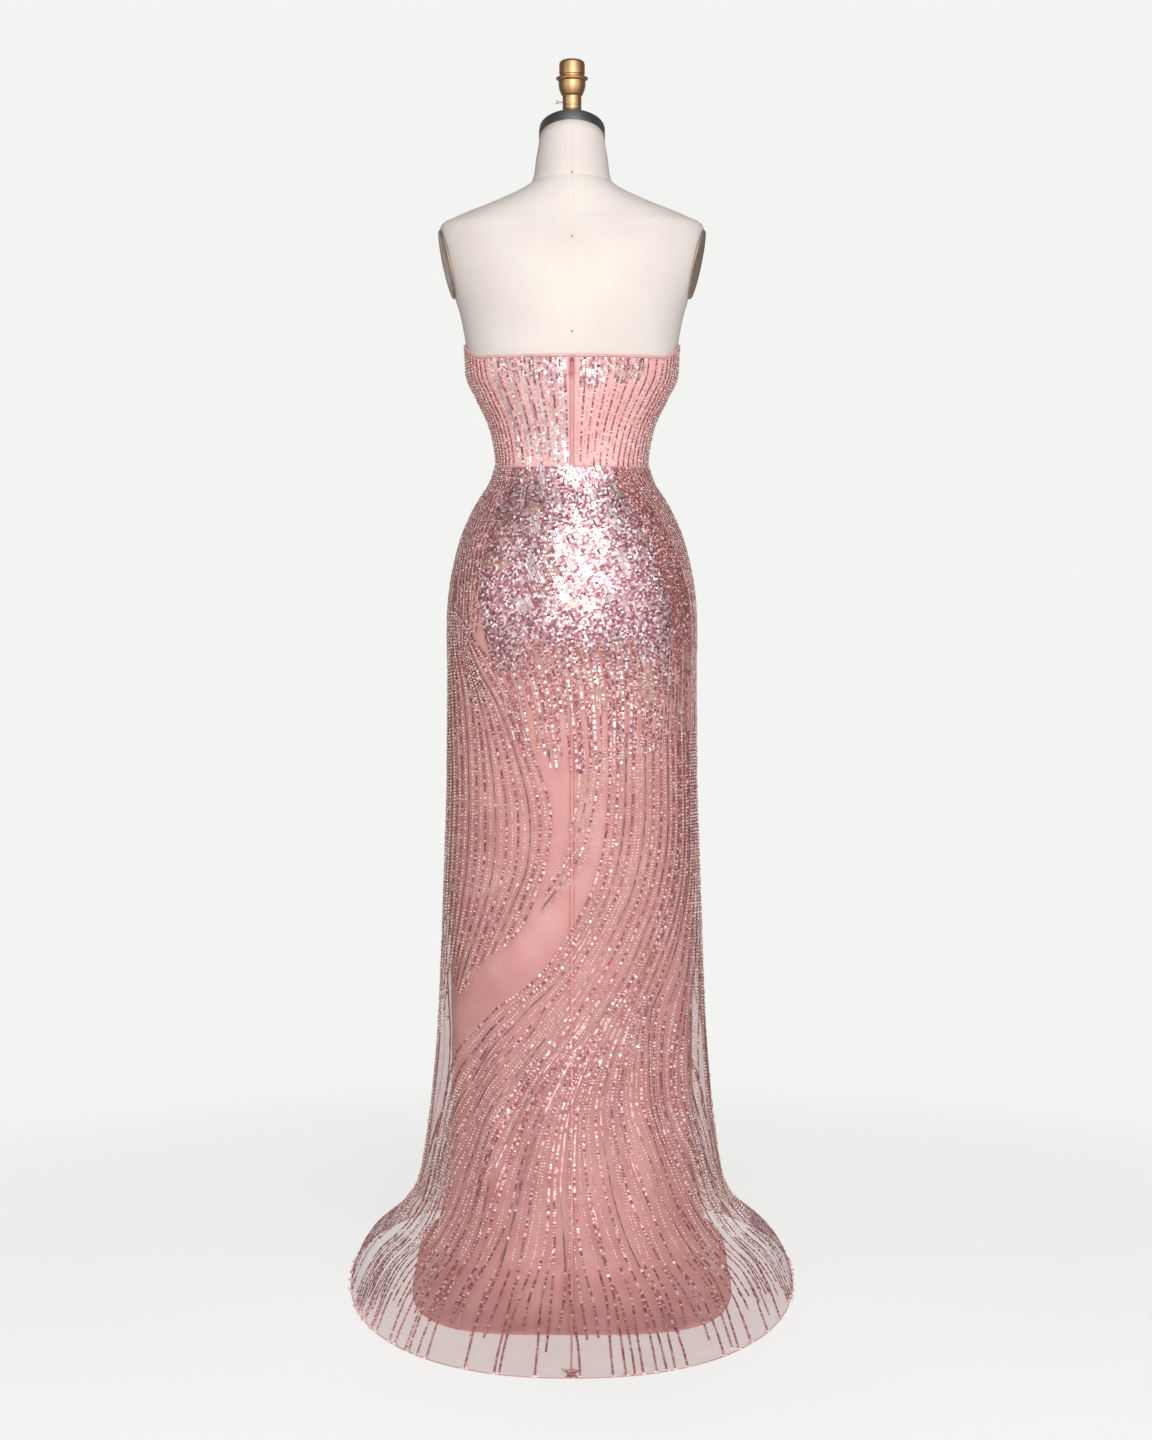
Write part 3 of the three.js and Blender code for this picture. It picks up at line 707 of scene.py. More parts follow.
@dataclass(frozen=True)
class Satin:
    """Woven satin: one smooth face that catches a soft broad light."""

    name: str = "pink_satin"
    shade: str = "#E4A6A4"
    base: str = "#EEB3B0"
    light: str = "#F4C2BE"
    thread: float = 0.9  # drawn coarser than the real 0.2 mm so that it shows
    depth: float = 0.02
    patch: float = 55.0
    roughness: float = 0.5

    def make(self) -> bpy.types.Material:
        """Build the material."""
        material, tree, shader = new_material(self.name)
        place = add_node(tree, "ShaderNodeTexCoord").outputs["Object"]
        spots = {"Vector": place, "Scale": 1 / (self.patch * MM), "Detail": 3}
        blotch = add_node(tree, "ShaderNodeTexNoise", spots)
        stops = ((0.3, self.shade), (0.5, self.base), (0.72, self.light))
        tint = add_node(tree, "ShaderNodeValToRGB", {"Fac": blotch.outputs["Fac"]}, stops).outputs["Color"]
        cut = add_node(tree, "ShaderNodeUVMap", uv_map="cut").outputs["UV"]
        scale = 1 / (self.thread * MM) / 3
        weave = add_node(tree, "ShaderNodeTexWave", {"Vector": cut, "Scale": scale, "Distortion": 1.5})
        raised = {"Height": weave.outputs["Fac"], "Distance": self.depth * MM, "Strength": 1}
        bumped = add_node(tree, "ShaderNodeBump", raised).outputs["Normal"]
        connect(tree, shader, {"Base Color": tint, "Roughness": self.roughness, "Normal": bumped})
        connect(tree, shader, {"Sheen Weight": 0.25, "Sheen Roughness": 0.4})
        return material


@dataclass(frozen=True)
class Net:
    """Fine hexagonal net: open holes between threads, so that what lies under it shows through."""

    name: str = "dusty_net"
    thread: str = "#C0867F"
    knot: str = "#D2A29A"
    hole: float = 2.0  # drawn coarser than the real 1 mm so that it shows
    cover: float = 0.34
    clear: float = 0.1
    floor_cover_and_shade: float = 1.2  # how much denser the net is drawn where it lies on the floor: partly the slack net bunching, partly painted shadow that darkens the hem there
    patch: float = 40.0

    def make(self) -> bpy.types.Material:
        """Build the material."""
        material, tree, shader = new_material(self.name)
        cut = add_node(tree, "ShaderNodeUVMap", uv_map="cut").outputs["UV"]
        mesh = {"Vector": cut, "Scale": 1 / (self.hole * MM), "Randomness": 0.35}
        cells = add_node(tree, "ShaderNodeTexVoronoi", mesh, feature="DISTANCE_TO_EDGE").outputs["Distance"]
        # A thread is full up to 0.05 of a cell from its middle, and from 0.2 on the hole is clear.
        ends = {"From Min": 0.05, "From Max": 0.2, "To Min": self.cover, "To Max": self.clear}
        thread = add_node(tree, "ShaderNodeMapRange", {"Value": cells, **ends}).outputs["Result"]
        place = add_node(tree, "ShaderNodeTexCoord").outputs["Object"]
        height = add_node(tree, "ShaderNodeSeparateXYZ", {"Vector": place}).outputs["Z"]
        # The net goes from taut to slack between 60 and 10 mm over the floor, and its painted shadow goes
        # from none to full.
        ends = {"From Min": 0.01, "From Max": 0.06, "To Min": self.floor_cover_and_shade, "To Max": 1}
        slack_and_shade = add_node(tree, "ShaderNodeMapRange", {"Value": height, **ends}).outputs["Result"]
        alpha = add_node(tree, "ShaderNodeMath", {0: thread, 1: slack_and_shade}, operation="MULTIPLY").outputs["Value"]
        spots = {"Vector": place, "Scale": 1 / (self.patch * MM), "Detail": 3}
        blotch = add_node(tree, "ShaderNodeTexNoise", spots)
        stops = ((0.35, self.thread), (0.65, self.knot))
        tint = add_node(tree, "ShaderNodeValToRGB", {"Fac": blotch.outputs["Fac"]}, stops).outputs["Color"]
        connect(tree, shader, {"Alpha": alpha, "Base Color": tint, "Roughness": 0.6})
        return material


@dataclass(frozen=True)
class SequinFoil:
    """Punched metallised film: small mirrors, each with its own shade of rose."""

    name: str = "rose_sequin_foil"
    tones: tuple = (
        (0.0, "#864A4F"),
        (0.3, "#A86266"),
        (0.6, "#C37F81"),
        (0.85, "#E0AFAD"),
        (1.0, "#FAE8E5"),
    )
    champagne: str = "#CFA99C"
    patch: float = 45.0
    patch_edge: tuple = (0.66, 0.7)  # the noise's values between which champagne takes over
    roughness: float = 0.35
    metallic: float = 0.3

    def make(self) -> bpy.types.Material:
        """Build the material."""
        material, tree, shader = new_material(self.name)
        tone = add_node(tree, "ShaderNodeAttribute", attribute_name="tone")
        foil = add_node(tree, "ShaderNodeValToRGB", {"Fac": tone.outputs["Fac"]}, self.tones).outputs["Color"]
        place = add_node(tree, "ShaderNodeTexCoord").outputs["Object"]
        spots = {"Vector": place, "Scale": 1 / (self.patch * MM), "Detail": 1}
        blotch = add_node(tree, "ShaderNodeTexNoise", spots)
        low, high = self.patch_edge
        edge = {"Value": blotch.outputs["Fac"], "From Min": low, "From Max": high}
        patches = add_node(tree, "ShaderNodeMapRange", edge).outputs["Result"]
        # A Mix node's colour sockets, 6 and 7 in and 2 out, come after its number and vector ones.
        mix = {"Factor": patches, 6: foil, 7: linear(self.champagne)}
        colour = add_node(tree, "ShaderNodeMix", mix, data_type="RGBA").outputs[2]
        connect(tree, shader, {"Base Color": colour, "Metallic": self.metallic, "Roughness": self.roughness})
        return material


@dataclass(frozen=True)
class GlassBead:
    """Silver-lined glass beads: clear pink glass over a bright core, so each one glows softly."""

    name: str = "pink_glass_bead"
    tones: tuple = ((0.0, "#C9938F"), (0.4, "#E3BBB5"), (0.8, "#FBEBE4"))
    roughness: float = 0.25

    def make(self) -> bpy.types.Material:
        """Build the material."""
        material, tree, shader = new_material(self.name)
        tone = add_node(tree, "ShaderNodeAttribute", attribute_name="tone")
        glass = add_node(tree, "ShaderNodeValToRGB", {"Fac": tone.outputs["Fac"]}, self.tones)
        finish = {"Base Color": glass.outputs["Color"], "Roughness": self.roughness, "Coat Weight": 0.4}
        connect(tree, shader, finish)
        return material


@dataclass(frozen=True)
class Canvas:
    """Plain-woven cotton canvas: a dry, matt, slightly uneven cover."""

    name: str = "cotton_canvas"
    base: str = "#E6DDD6"
    worn: str = "#E1D7D0"
    thread: float = 1.4  # drawn coarser than the real 0.6 mm so that it shows
    depth: float = 0.12
    patch: float = 90.0

    def make(self) -> bpy.types.Material:
        """Build the material."""
        material, tree, shader = new_material(self.name)
        place = add_node(tree, "ShaderNodeTexCoord").outputs["Object"]
        spots = {"Vector": place, "Scale": 1 / (self.patch * MM), "Detail": 5}
        blotch = add_node(tree, "ShaderNodeTexNoise", spots)
        stops = ((0.35, self.worn), (0.62, self.base))
        tint = add_node(tree, "ShaderNodeValToRGB", {"Fac": blotch.outputs["Fac"]}, stops).outputs["Color"]
        wave = {"Vector": place, "Scale": 2 * math.pi / (self.thread * MM) / 20}
        across, up = (
            add_node(tree, "ShaderNodeTexWave", wave, bands_direction=way).outputs["Fac"] for way in "XZ"
        )
        weave = add_node(tree, "ShaderNodeMath", {0: across, 1: up}, operation="MULTIPLY").outputs["Value"]
        raised = {"Height": weave, "Distance": self.depth * MM, "Strength": 1}
        bumped = add_node(tree, "ShaderNodeBump", raised).outputs["Normal"]
        finish = {"Base Color": tint, "Roughness": 0.92, "Specular IOR Level": 0.2, "Normal": bumped}
        connect(tree, shader, finish)
        return material


@dataclass(frozen=True)
class Metal:
    """A bare or lacquered metal, with fine marks that run round or along it."""

    name: str
    base: str
    marks: str
    roughness: float
    metallic: float = 1.0
    grain: float = 1.2
    stretch: tuple = (1.0, 1.0, 14.0)
    depth: float = 0.02

    def make(self) -> bpy.types.Material:
        """Build the material."""
        material, tree, shader = new_material(self.name)
        place = add_node(tree, "ShaderNodeTexCoord").outputs["Object"]
        drawn = add_node(tree, "ShaderNodeMapping", {"Vector": place, "Scale": self.stretch})
        grain = {"Vector": drawn.outputs["Vector"], "Scale": 1 / (self.grain * 8 * MM), "Detail": 6}
        marks = add_node(tree, "ShaderNodeTexNoise", grain).outputs["Fac"]
        stops = ((0.3, self.marks), (0.65, self.base))
        tint = add_node(tree, "ShaderNodeValToRGB", {"Fac": marks}, stops).outputs["Color"]
        ends = {"To Min": self.roughness + 0.08, "To Max": self.roughness - 0.05}
        rough = add_node(tree, "ShaderNodeMapRange", {"Value": marks, **ends}).outputs["Result"]
        raised = {"Height": marks, "Distance": self.depth * MM, "Strength": 1}
        bumped = add_node(tree, "ShaderNodeBump", raised).outputs["Normal"]
        finish = {"Base Color": tint, "Roughness": rough, "Metallic": self.metallic, "Normal": bumped}
        connect(tree, shader, finish)
        return material


SATIN = Satin()
BINDING_SATIN = Satin(name="binding_satin", shade="#DDA4A3", base="#E6B0AE", light="#EDBCB9")
NET = Net()
FOIL = SequinFoil()
HIP_FOIL = SequinFoil(
    name="light_rose_sequin_foil",
    tones=((0.0, "#995F66"), (0.3, "#BC8087"), (0.6, "#D9A9AC"), (0.85, "#F3DADC"), (1.0, "#FCF2F4")),
    roughness=0.21,
    metallic=0.6,
)
BRIGHT_FOIL = SequinFoil(
    name="silvered_sequin_foil",
    tones=((0.0, "#D6AEB3"), (0.4, "#EED5D9"), (0.8, "#FDF4F6")),
    patch=400.0,
    roughness=0.19,
    metallic=0.55,
)
MAUVE_BUGLE = SequinFoil(
    name="mauve_bugle_glass",
    tones=((0.0, "#83575C"), (0.5, "#A07074"), (1.0, "#BE8F8F")),
    patch=400.0,
    roughness=0.25,
    metallic=0.3,
)
BEAD_GLASS = GlassBead()
CANVAS = Canvas()
BRUSHED_STEEL = Metal("brushed_steel", "#9C9B9B", "#828182", 0.42, depth=0.008)
TURNED_BRASS = Metal("turned_brass", "#DDB084", "#CB9D70", 0.42, depth=0.004)
BRONZED_PLATE = Metal("bronzed_plate", "#B39C8A", "#8F7968", 0.45, metallic=0.4, stretch=(1, 1, 1), grain=3)
LACQUERED_ZINC = Metal(
    "pink_lacquered_zinc", "#8E4F55", "#6F3A40", 0.32, metallic=0.4, stretch=(1, 1, 1), grain=0.5
)
EDGE_SATIN = Satin(name="dusty_edge_satin", shade="#B38680", base="#C0938C", light="#CCA19A")
SEAM_SATIN = Satin(name="coral_seam_satin", shade="#CF857F", base="#D98F88", light="#E29C94")
PAINTED_IRON = Metal(
    "painted_cast_iron", "#2C2C2E", "#1E1E20", 0.5, metallic=0.2, stretch=(1, 1, 1), grain=1, depth=0.15
)
Finish = Satin | Net | SequinFoil | GlassBead | Canvas | Metal


class Dresser:
    """Makes each finish once and puts it on pieces."""

    def __init__(self) -> None:
        """Start with no material made."""
        self.made: dict[str, bpy.types.Material] = {}

    def material(self, finish: Finish) -> bpy.types.Material:
        """Return the finish's material.

        Args:
            finish: any finish.

        Returns:
            Its material, made at the first call.
        """
        if finish.name not in self.made:
            self.made[finish.name] = finish.make()
        return self.made[finish.name]

    def dress(self, piece: bpy.types.Object, finish: Finish) -> None:
        """Give a piece its only material."""
        piece.data.materials.clear()
        piece.data.materials.append(self.material(finish))


DRESSER = Dresser()


def report(piece: bpy.types.Object) -> None:
    """Log a finished piece and its size."""
    LOG.info("%s: %d faces", piece.name, len(piece.data.polygons))


def settle(piece: bpy.types.Object, finish: Finish, node: str | None = None) -> None:
    """Dress a piece, hide the solid that it replaces, let it ride with the gown and log its size.

    Args:
        piece: the finished piece.
        finish: what it is made of.
        node: the solid that it replaces, if any.
    """
    DRESSER.dress(piece, finish)
    if node:
        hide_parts(node)
    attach(piece, "root")
    report(piece)


# Strings of beads


BAR_WIDTH = 0.36  # of a bar's length


class Bead(Enum):
    """What is strung along a line."""

    SEQUIN = "sequin"
    SEED = "seed"
    BAR = "bar"


@dataclass(frozen=True)
class Stringing:
    """How beads sit on a line: their kind, size and distance apart, in millimetres, and their tilt."""

    bead: Bead
    size: float
    pitch: float
    tilt: float
    apart: float
    seed: int
    scatter: float = 0.0


def bead_shape(tree: bpy.types.NodeTree, bead: Bead, size: bpy.types.NodeSocket) -> bpy.types.NodeSocket:
    """Add the nodes that make one bead.

    Args:
        tree: the geometry tree.
        bead: its kind.
        size: the socket that gives its width.

    Returns:
        The socket with the bead's mesh.
    """
    half = add_node(tree, "ShaderNodeMath", {0: size, 1: 0.5}, operation="MULTIPLY").outputs["Value"]
    if bead is Bead.SEQUIN:
        disc = add_node(tree, "GeometryNodeMeshCircle", {"Vertices": 6, "Radius": half}, fill_type="NGON")
        return disc.outputs["Mesh"]
    if bead is Bead.SEED:
        ball = add_node(tree, "GeometryNodeMeshUVSphere", {"Segments": 4, "Rings": 2, "Radius": half})
        return ball.outputs["Mesh"]
    width = add_node(tree, "ShaderNodeMath", {0: size, 1: BAR_WIDTH}, operation="MULTIPLY").outputs["Value"]
    bar = {"Size X": size, "Size Y": width, "Vertices X": 2, "Vertices Y": 2}
    return add_node(tree, "GeometryNodeMeshGrid", bar).outputs["Mesh"]


def stringing_tree(how: Stringing, material: bpy.types.Material) -> bpy.types.NodeTree:
    """Build the tree that lays beads along a mesh's edges.

    Args:
        how: the beads and their spacing.
        material: what they are made of.

    Returns:
        The tree, with named inputs for its sizes.
    """
    tree = bpy.data.node_groups.new(f"string_{how.bead.value}", "GeometryNodeTree")
    face = tree.interface
    face.new_socket("Geometry", in_out="INPUT", socket_type="NodeSocketGeometry")
    for name in ("Pitch", "Size", "Apart", "Tilt", "Scatter"):
        face.new_socket(name, in_out="INPUT", socket_type="NodeSocketFloat")
    face.new_socket("Seed", in_out="INPUT", socket_type="NodeSocketInt")
    face.new_socket("Geometry", in_out="OUTPUT", socket_type="NodeSocketGeometry")
    given = add_node(tree, "NodeGroupInput").outputs
    curve = add_node(tree, "GeometryNodeMeshToCurve", {"Mesh": given["Geometry"]}).outputs["Curve"]
    pitch = {"Curve": curve, "Length": given["Pitch"]}
    even = add_node(tree, "GeometryNodeResampleCurve", pitch, mode="LENGTH")
    points = add_node(tree, "GeometryNodeCurveToPoints", {"Curve": even.outputs["Curve"]}, mode="EVALUATED")
    near = {"Geometry": points.outputs["Points"], "Distance": given["Apart"]}
    spaced = add_node(tree, "GeometryNodeMergeByDistance", near).outputs["Geometry"]
    out, along = (
        add_node(tree, "GeometryNodeInputNamedAttribute", {"Name": name}, data_type="FLOAT_VECTOR")
        for name in ("outward", "along")
    )
    strays = []
    for reach, amount in ((0.2, "Scatter"), (1, "Tilt")):
        ends = {0: (-1, -1, -reach), 1: (1, 1, reach), "Seed": given["Seed"]}
        drawn = add_node(tree, "FunctionNodeRandomValue", ends, data_type="FLOAT_VECTOR").outputs[0]
        scaled = add_node(tree, "ShaderNodeVectorMath", {0: drawn, "Scale": given[amount]}, operation="SCALE")
        strays.append(scaled.outputs["Vector"])
    shift, lean = strays
    moved = add_node(tree, "GeometryNodeSetPosition", {"Geometry": spaced, "Offset": shift})
    axes = {"Primary Axis": out.outputs["Attribute"], "Secondary Axis": along.outputs["Attribute"]}
    facing = add_node(tree, "FunctionNodeAxesToRotation", axes, primary_axis="Z", secondary_axis="X")
    turn = add_node(tree, "FunctionNodeEulerToRotation", {"Euler": lean})
    both = {"Rotation": facing.outputs["Rotation"], "Rotate By": turn.outputs["Rotation"]}
    tilted = add_node(tree, "FunctionNodeRotateRotation", both, rotation_space="LOCAL")
    strung = add_node(
        tree,
        "GeometryNodeInstanceOnPoints",
        {
            "Points": moved.outputs["Geometry"],
            "Instance": bead_shape(tree, how.bead, given["Size"]),
            "Rotation": tilted.outputs["Rotation"],
        },
    )
    shade = add_node(tree, "FunctionNodeRandomValue", {"Seed": given["Seed"]}, data_type="FLOAT")
    toned = add_node(
        tree,
        "GeometryNodeStoreNamedAttribute",
        {"Geometry": strung.outputs["Instances"], "Name": "tone", "Value": shade.outputs[1]},
        data_type="FLOAT",
        domain="INSTANCE",
    )
    real = add_node(tree, "GeometryNodeRealizeInstances", {"Geometry": toned.outputs["Geometry"]})
    dressed = {"Geometry": real.outputs["Geometry"], "Material": material}
    finished = add_node(tree, "GeometryNodeSetMaterial", dressed)
    add_node(tree, "NodeGroupOutput", {"Geometry": finished.outputs["Geometry"]})
    return tree


@dataclass
class Lines:
    """Polylines on the cloth, each point with its outward and forward directions."""

    points: list[np.ndarray] = field(default_factory=list)
    outward: list[np.ndarray] = field(default_factory=list)

    def add(self, points: np.ndarray, outward: np.ndarray) -> None:
        """Keep one more line, in millimetres, if it has a length.

        Args:
            points: the line.
            outward: the cloth's normals along it.
        """
        if len(points) > 1:
            self.points.append(points)
            self.outward.append(outward)

    def mesh(self, name: str) -> bpy.types.Object:
        """Return the lines as one object of edges.

        Args:
            name: the object's name.

        Returns:
            The object, with each point's directions as attributes.
        """
        mesh = bpy.data.meshes.new(name)
        edges, start = [], 0
        for line in self.points:
            edges += [(start + i, start + i + 1) for i in range(len(line) - 1)]
            start += len(line)
        mesh.from_pydata((np.concatenate(self.points) * MM).tolist(), edges, [])
        along = np.concatenate([np.gradient(line, axis=0) for line in self.points])
        for label, values in (("outward", np.concatenate(self.outward)), ("along", along)):
            layer = mesh.attributes.new(label, "FLOAT_VECTOR", "POINT")
            layer.data.foreach_set("vector", values.astype(np.float32).ravel())
        return new_object(name, mesh)


def string_beads(name: str, lines: Lines, how: Stringing, finish: SequinFoil | GlassBead) -> bpy.types.Object:
    """Lay beads along lines and keep the result as a plain mesh.

    Args:
        name: the piece's name.
        lines: where they go.
        how: which beads, and how they sit.
        finish: what they are made of.

    Returns:
        The finished piece.
    """
    work = lines.mesh(f"{name}_lines")
    tree = stringing_tree(how, DRESSER.material(finish))
    modifier = work.modifiers.new("strung", "NODES")
    modifier.node_group = tree
    sizes = {
        "Pitch": how.pitch * MM,
        "Size": how.size * MM,
        "Apart": how.apart * MM,
        "Tilt": math.radians(how.tilt),
        "Scatter": how.scatter * MM,
        "Seed": how.seed,
    }
    for item in tree.interface.items_tree:
        if item.in_out == "INPUT" and item.name in sizes:
            modifier[item.identifier] = sizes[item.name]
    graph = bpy.context.evaluated_depsgraph_get()
    mesh = bpy.data.meshes.new_from_object(work.evaluated_get(graph), depsgraph=graph)
    work.modifiers.remove(modifier)
    bpy.data.objects.remove(work)
    mesh.name = name
    piece = new_object(name, mesh)
    if not mesh.materials:
        mesh.materials.append(DRESSER.material(finish))
    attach(piece, "root")
    report(piece)
    return piece


# Flow of the beading


@dataclass(frozen=True)
class Sweep:
    """A family of lines between guides. A guide is a row of knots, each a level and an angle.

    Attributes:
        guides: knots, as many in each guide.
        counts: how many lines run from each guide to the next.
        keep: least share of its length that a line keeps, for each gap.
        late: how many more lines start part of the way down, for each gap.
        late_from: the share of the length that those lines leave off.
    """

    guides: tuple
    counts: tuple
    keep: tuple
    late: tuple = ()
    late_from: float = 0.5

    def lines(self, draw: np.random.Generator, samples: int = 90) -> list[np.ndarray]:
        """Work out the family's lines.

        Args:
            draw: for the lines' ends.
            samples: points on a whole line.

        Returns:
            For each line, an array of levels and angles.
        """
        made = []
        late = self.late or (0,) * len(self.counts)
        gaps = zip(self.guides, self.guides[1:], self.counts, self.keep, late)
        for first, second, count, least, more in gaps:
            a, b = np.array(first, float), np.array(second, float)
            whole = [((k + 0.5) / count, 0.0) for k in range(count)]
            part = [((k + 0.02) / more, self.late_from + 0.16 * draw.random()) for k in range(more)]
            for share, start in whole + part:
                knots = Table(("level", "angle"), tuple(map(tuple, a + (b - a) * share)))
                stop = min(1.0, least + (1 - least) * 1.9 * draw.random())
                places = np.linspace(start, max(stop, start + 0.1), samples) * (len(a) - 1)
                made.append(np.stack([knots.at("level", places), knots.at("angle", places)], axis=-1))
        return made


def guide(levels: tuple[float, ...], angles: tuple[float, ...]) -> tuple[tuple[float, float], ...]:
    """Pair levels with angles as a guide's knots."""
    return tuple(zip(levels, angles))


HIP_CENTRE = Sweep(
    guides=(
        guide((1153, 1110, 1050, 940, 766), (46, 53, 61, 71, 70)),
        guide((1153, 1100, 1030, 920, 764), (30, 37, 45, 53, 50)),
        guide((1153, 1095, 1005, 890, 750), (6, 14, 27, 35, 34)),
        guide((1153, 1070, 965, 860, 738), (-20, -8, 8, 18, 19)),
        guide((1153, 1050, 930, 850, 725), (-40, -30, -8, 1, 5)),
        guide((1153, 1030, 900, 840, 735), (-46.5, -46, -26, -17, -12)),
        guide((1040, 960, 895, 830, 770), (-46.5, -46, -41, -33, -29)),
    ),
    counts=(15, 18, 19, 17, 18, 11),
    keep=(0.86, 0.84, 0.82, 0.82, 0.8, 0.78),
)
HIP_LEFT = Sweep(
    guides=(
        guide((1153, 1080, 1000, 900, 745), (90, 90, 90, 90, 90)),
        guide((1153, 1110, 1050, 950, 750), (64, 68, 74, 80, 79)),
        guide((1153, 1110, 1050, 940, 764), (46.5, 53.5, 61.5, 71.5, 70.5)),
    ),
    counts=(11, 12),
    keep=(0.92, 0.88),
)
HIP_RIGHT = Sweep(
    guides=(
        guide((1153, 1100, 1044, 971, 905), (-47, -47, -47, -46.5, -50)),
        guide((1153, 1100, 1040, 970, 890), (-68, -67, -66, -63, -62)),
        guide((1153, 1100, 1040, 960, 870), (-90, -90, -90, -90, -89)),
    ),
    counts=(18, 20),
    keep=(0.9, 0.92),
)
LEVELS = (778, 655, 570, 500, 440, 385, 325, 260, 180, 105, 40, -1)
LEFT_SWEEP = Sweep(
    guides=(
        guide(LEVELS, (90,) * 12),
        guide(LEVELS, (78, 77, 75, 71, 65, 58, 52, 52, 60, 66, 68, 69)),
        guide(LEVELS, (67, 67, 63, 53, 43, 33, 31, 31, 40, 47, 50, 51)),
        guide(LEVELS, (58, 58, 53, 43, 32, 22, 13, 7, 8, 12, 14, 15)),
        guide(LEVELS, (48, 48, 42, 32, 22, 11, -2, -12, -20, -24, -26, -27)),
        guide(LEVELS, (32, 31, 25, 14, 3, -9, -23, -38, -49, -53, -55, -56)),
        guide(LEVELS, (17, 15, 9, -2, -16, -38, -57, -66, -70, -71, -71, -71)),
    ),
    counts=(7, 6, 5, 5, 7, 8),
    keep=(0.96, 0.96, 0.96, 0.96, 0.95, 0.95),
    late=(8, 9, 11, 12, 13, 10),
    late_from=0.4,
)
LEFT_INNER = Sweep(
    guides=(
        guide((760, 700, 650, 600, 555), (16.5, 14.5, 11, 6, -3)),
        guide((745, 725, 700, 675, 655), (2.5, 2.5, 2, 1, -0.5)),
    ),
    counts=(6,),
    keep=(0.85,),
)
RIGHT_INNER = Sweep(
    guides=(
        guide((625, 598, 572), (-1, -5.5, -10)),
        guide((572, 548, 522), (-1, -7, -14)),
    ),
    counts=(5,),
    keep=(0.7,),
)
RIGHT_SWEEP = Sweep(
    guides=(
        guide(
            (935, 918, 878, 823, 766, 690, 639, 575, 524, 490),
            (-59, -52, -39, -27, -19, -9.5, -8.5, -13, -19, -28),
        ),
        guide(
            (940, 912, 870, 820, 766, 681, 597, 529, 468, 425),
            (-62, -57, -49, -37, -29, -21, -21, -29, -38, -45),
        ),
        guide(
            (950, 900, 845, 800, 750, 680, 600, 528, 460, 400),
            (-68, -63, -54, -50, -48, -47, -47, -51, -58, -64),
        ),
        guide(
            (950, 900, 845, 800, 750, 680, 600, 528, 440, 330),
            (-78, -77, -75, -73, -71, -69, -70, -72, -75, -77),
        ),
    ),
    counts=(5, 9, 8),
    keep=(0.88, 0.86, 0.86),
)
RIGHT_EDGE = Sweep(
    guides=(
        guide(
            (950, 880, 800, 700, 600, 480, 360, 240, 110, -1),
            (-78, -76, -73, -70, -70, -73, -75, -76, -77, -77),
        ),
        guide((880, 820, 740, 660, 560, 450, 340, 220, 110, -1), (-90,) * 10),
    ),
    counts=(7,),
    keep=(0.9,),
    late=(6,),
)
SIDE_LATTICE = Sweep(
    guides=(
        guide((440, 330, 230, 150), (96, 88, 81, 76)),
        guide((330, 230, 160, 110), (99, 91, 84, 80)),
    ),
    counts=(7,),
    keep=(0.9,),
)
SIDE_LATTICE_BACK = Sweep(
    guides=(
        guide((440, 330, 230, 150), (76, 82, 90, 97)),
        guide((330, 230, 160, 110), (76, 82, 90, 97)),
    ),
    counts=(6,),
    keep=(0.9,),
)
HEM_GATHER = Sweep(
    guides=(
        guide((-0.72, -0.86, -1), (1.6, 0.5, 1.1)),
        guide((-0.72, -0.86, -1), (-1.6, -0.5, -1.1)),
    ),
    counts=(6,),
    keep=(1.0,),
)
BODICE_LEFT = Sweep(
    guides=(
        guide((1, 0.66, 0.33, 0), (90, 90, 90, 90)),
        guide((1, 0.66, 0.33, 0), (60, 57, 52, 48)),
        guide((1, 0.66, 0.33, 0), (2.6, 2.6, 2.6, 2.6)),
    ),
    counts=(15, 18),
    keep=(0.95, 0.85),
)
BODICE_TOP = Sweep(
    guides=(
        guide((1, 0.9, 0.82), (44, 43, 42)),
        guide((1, 0.84, 0.72), (4, 4, 4)),
        guide((1, 0.84, 0.72), (-4, -4, -4)),
        guide((1, 0.9, 0.82), (-44, -43, -42)),
    ),
    counts=(24, 0, 24),
    keep=(0.45, 1, 0.45),
)
BODICE_RIGHT = Sweep(
    guides=(
        guide((1, 0.66, 0.33, 0), (-3, -2.6, -2.4, -2.4)),
        guide((1, 0.66, 0.33, 0), (-30, -29, -28, -27)),
        guide((1, 0.66, 0.33, 0), (-52, -50, -48, -47)),
    ),
    counts=(15, 9),
    keep=(0.85, 0.85),
)
BODICE_SIDE = Sweep(
    guides=(
        guide((1, 0.66, 0.33, 0), (-53, -51, -49, -48)),
        guide((1, 0.66, 0.33, 0), (-90, -90, -90, -90)),
    ),
    counts=(17,),
    keep=(0.95,),
)
NET_ALONE = 62.0  # the height under which every line is a rose one, as the net shows alone there
HIP_FRINGE = 885.0  # the height under which the hips' rows part into single lines
SIDE_FRINGE = 960.0
SIDE_END = 762.0  # the height at which the single lines at the sides end, give or take SIDE_RAGGED
SIDE_RAGGED = 20.0
RAGGED = (30.0, 14.0)  # how far two waves lift and drop an uneven level
GLINT_LEAST = 0.42  # how much a place belongs to a cluster before it gets a long bar
NET_WANDER = 1.2  # degrees that a line strays by near the floor


def runs(line: np.ndarray, chosen: np.ndarray) -> list[np.ndarray]:
    """Return the stretches of a line where chosen is true."""
    edges = np.flatnonzero(np.diff(np.concatenate([[0], chosen.astype(int), [0]])))
    return [line[a:b] for a, b in zip(edges[::2], edges[1::2]) if b - a > 1]


def ragged(line: np.ndarray, level: float) -> np.ndarray:
    """Return which points of a line lie over an uneven level."""
    start = line[0, 1]
    return line[:, 0] > level + RAGGED[0] * math.sin(start * 0.61) + RAGGED[1] * math.sin(start * 1.7 + 1)


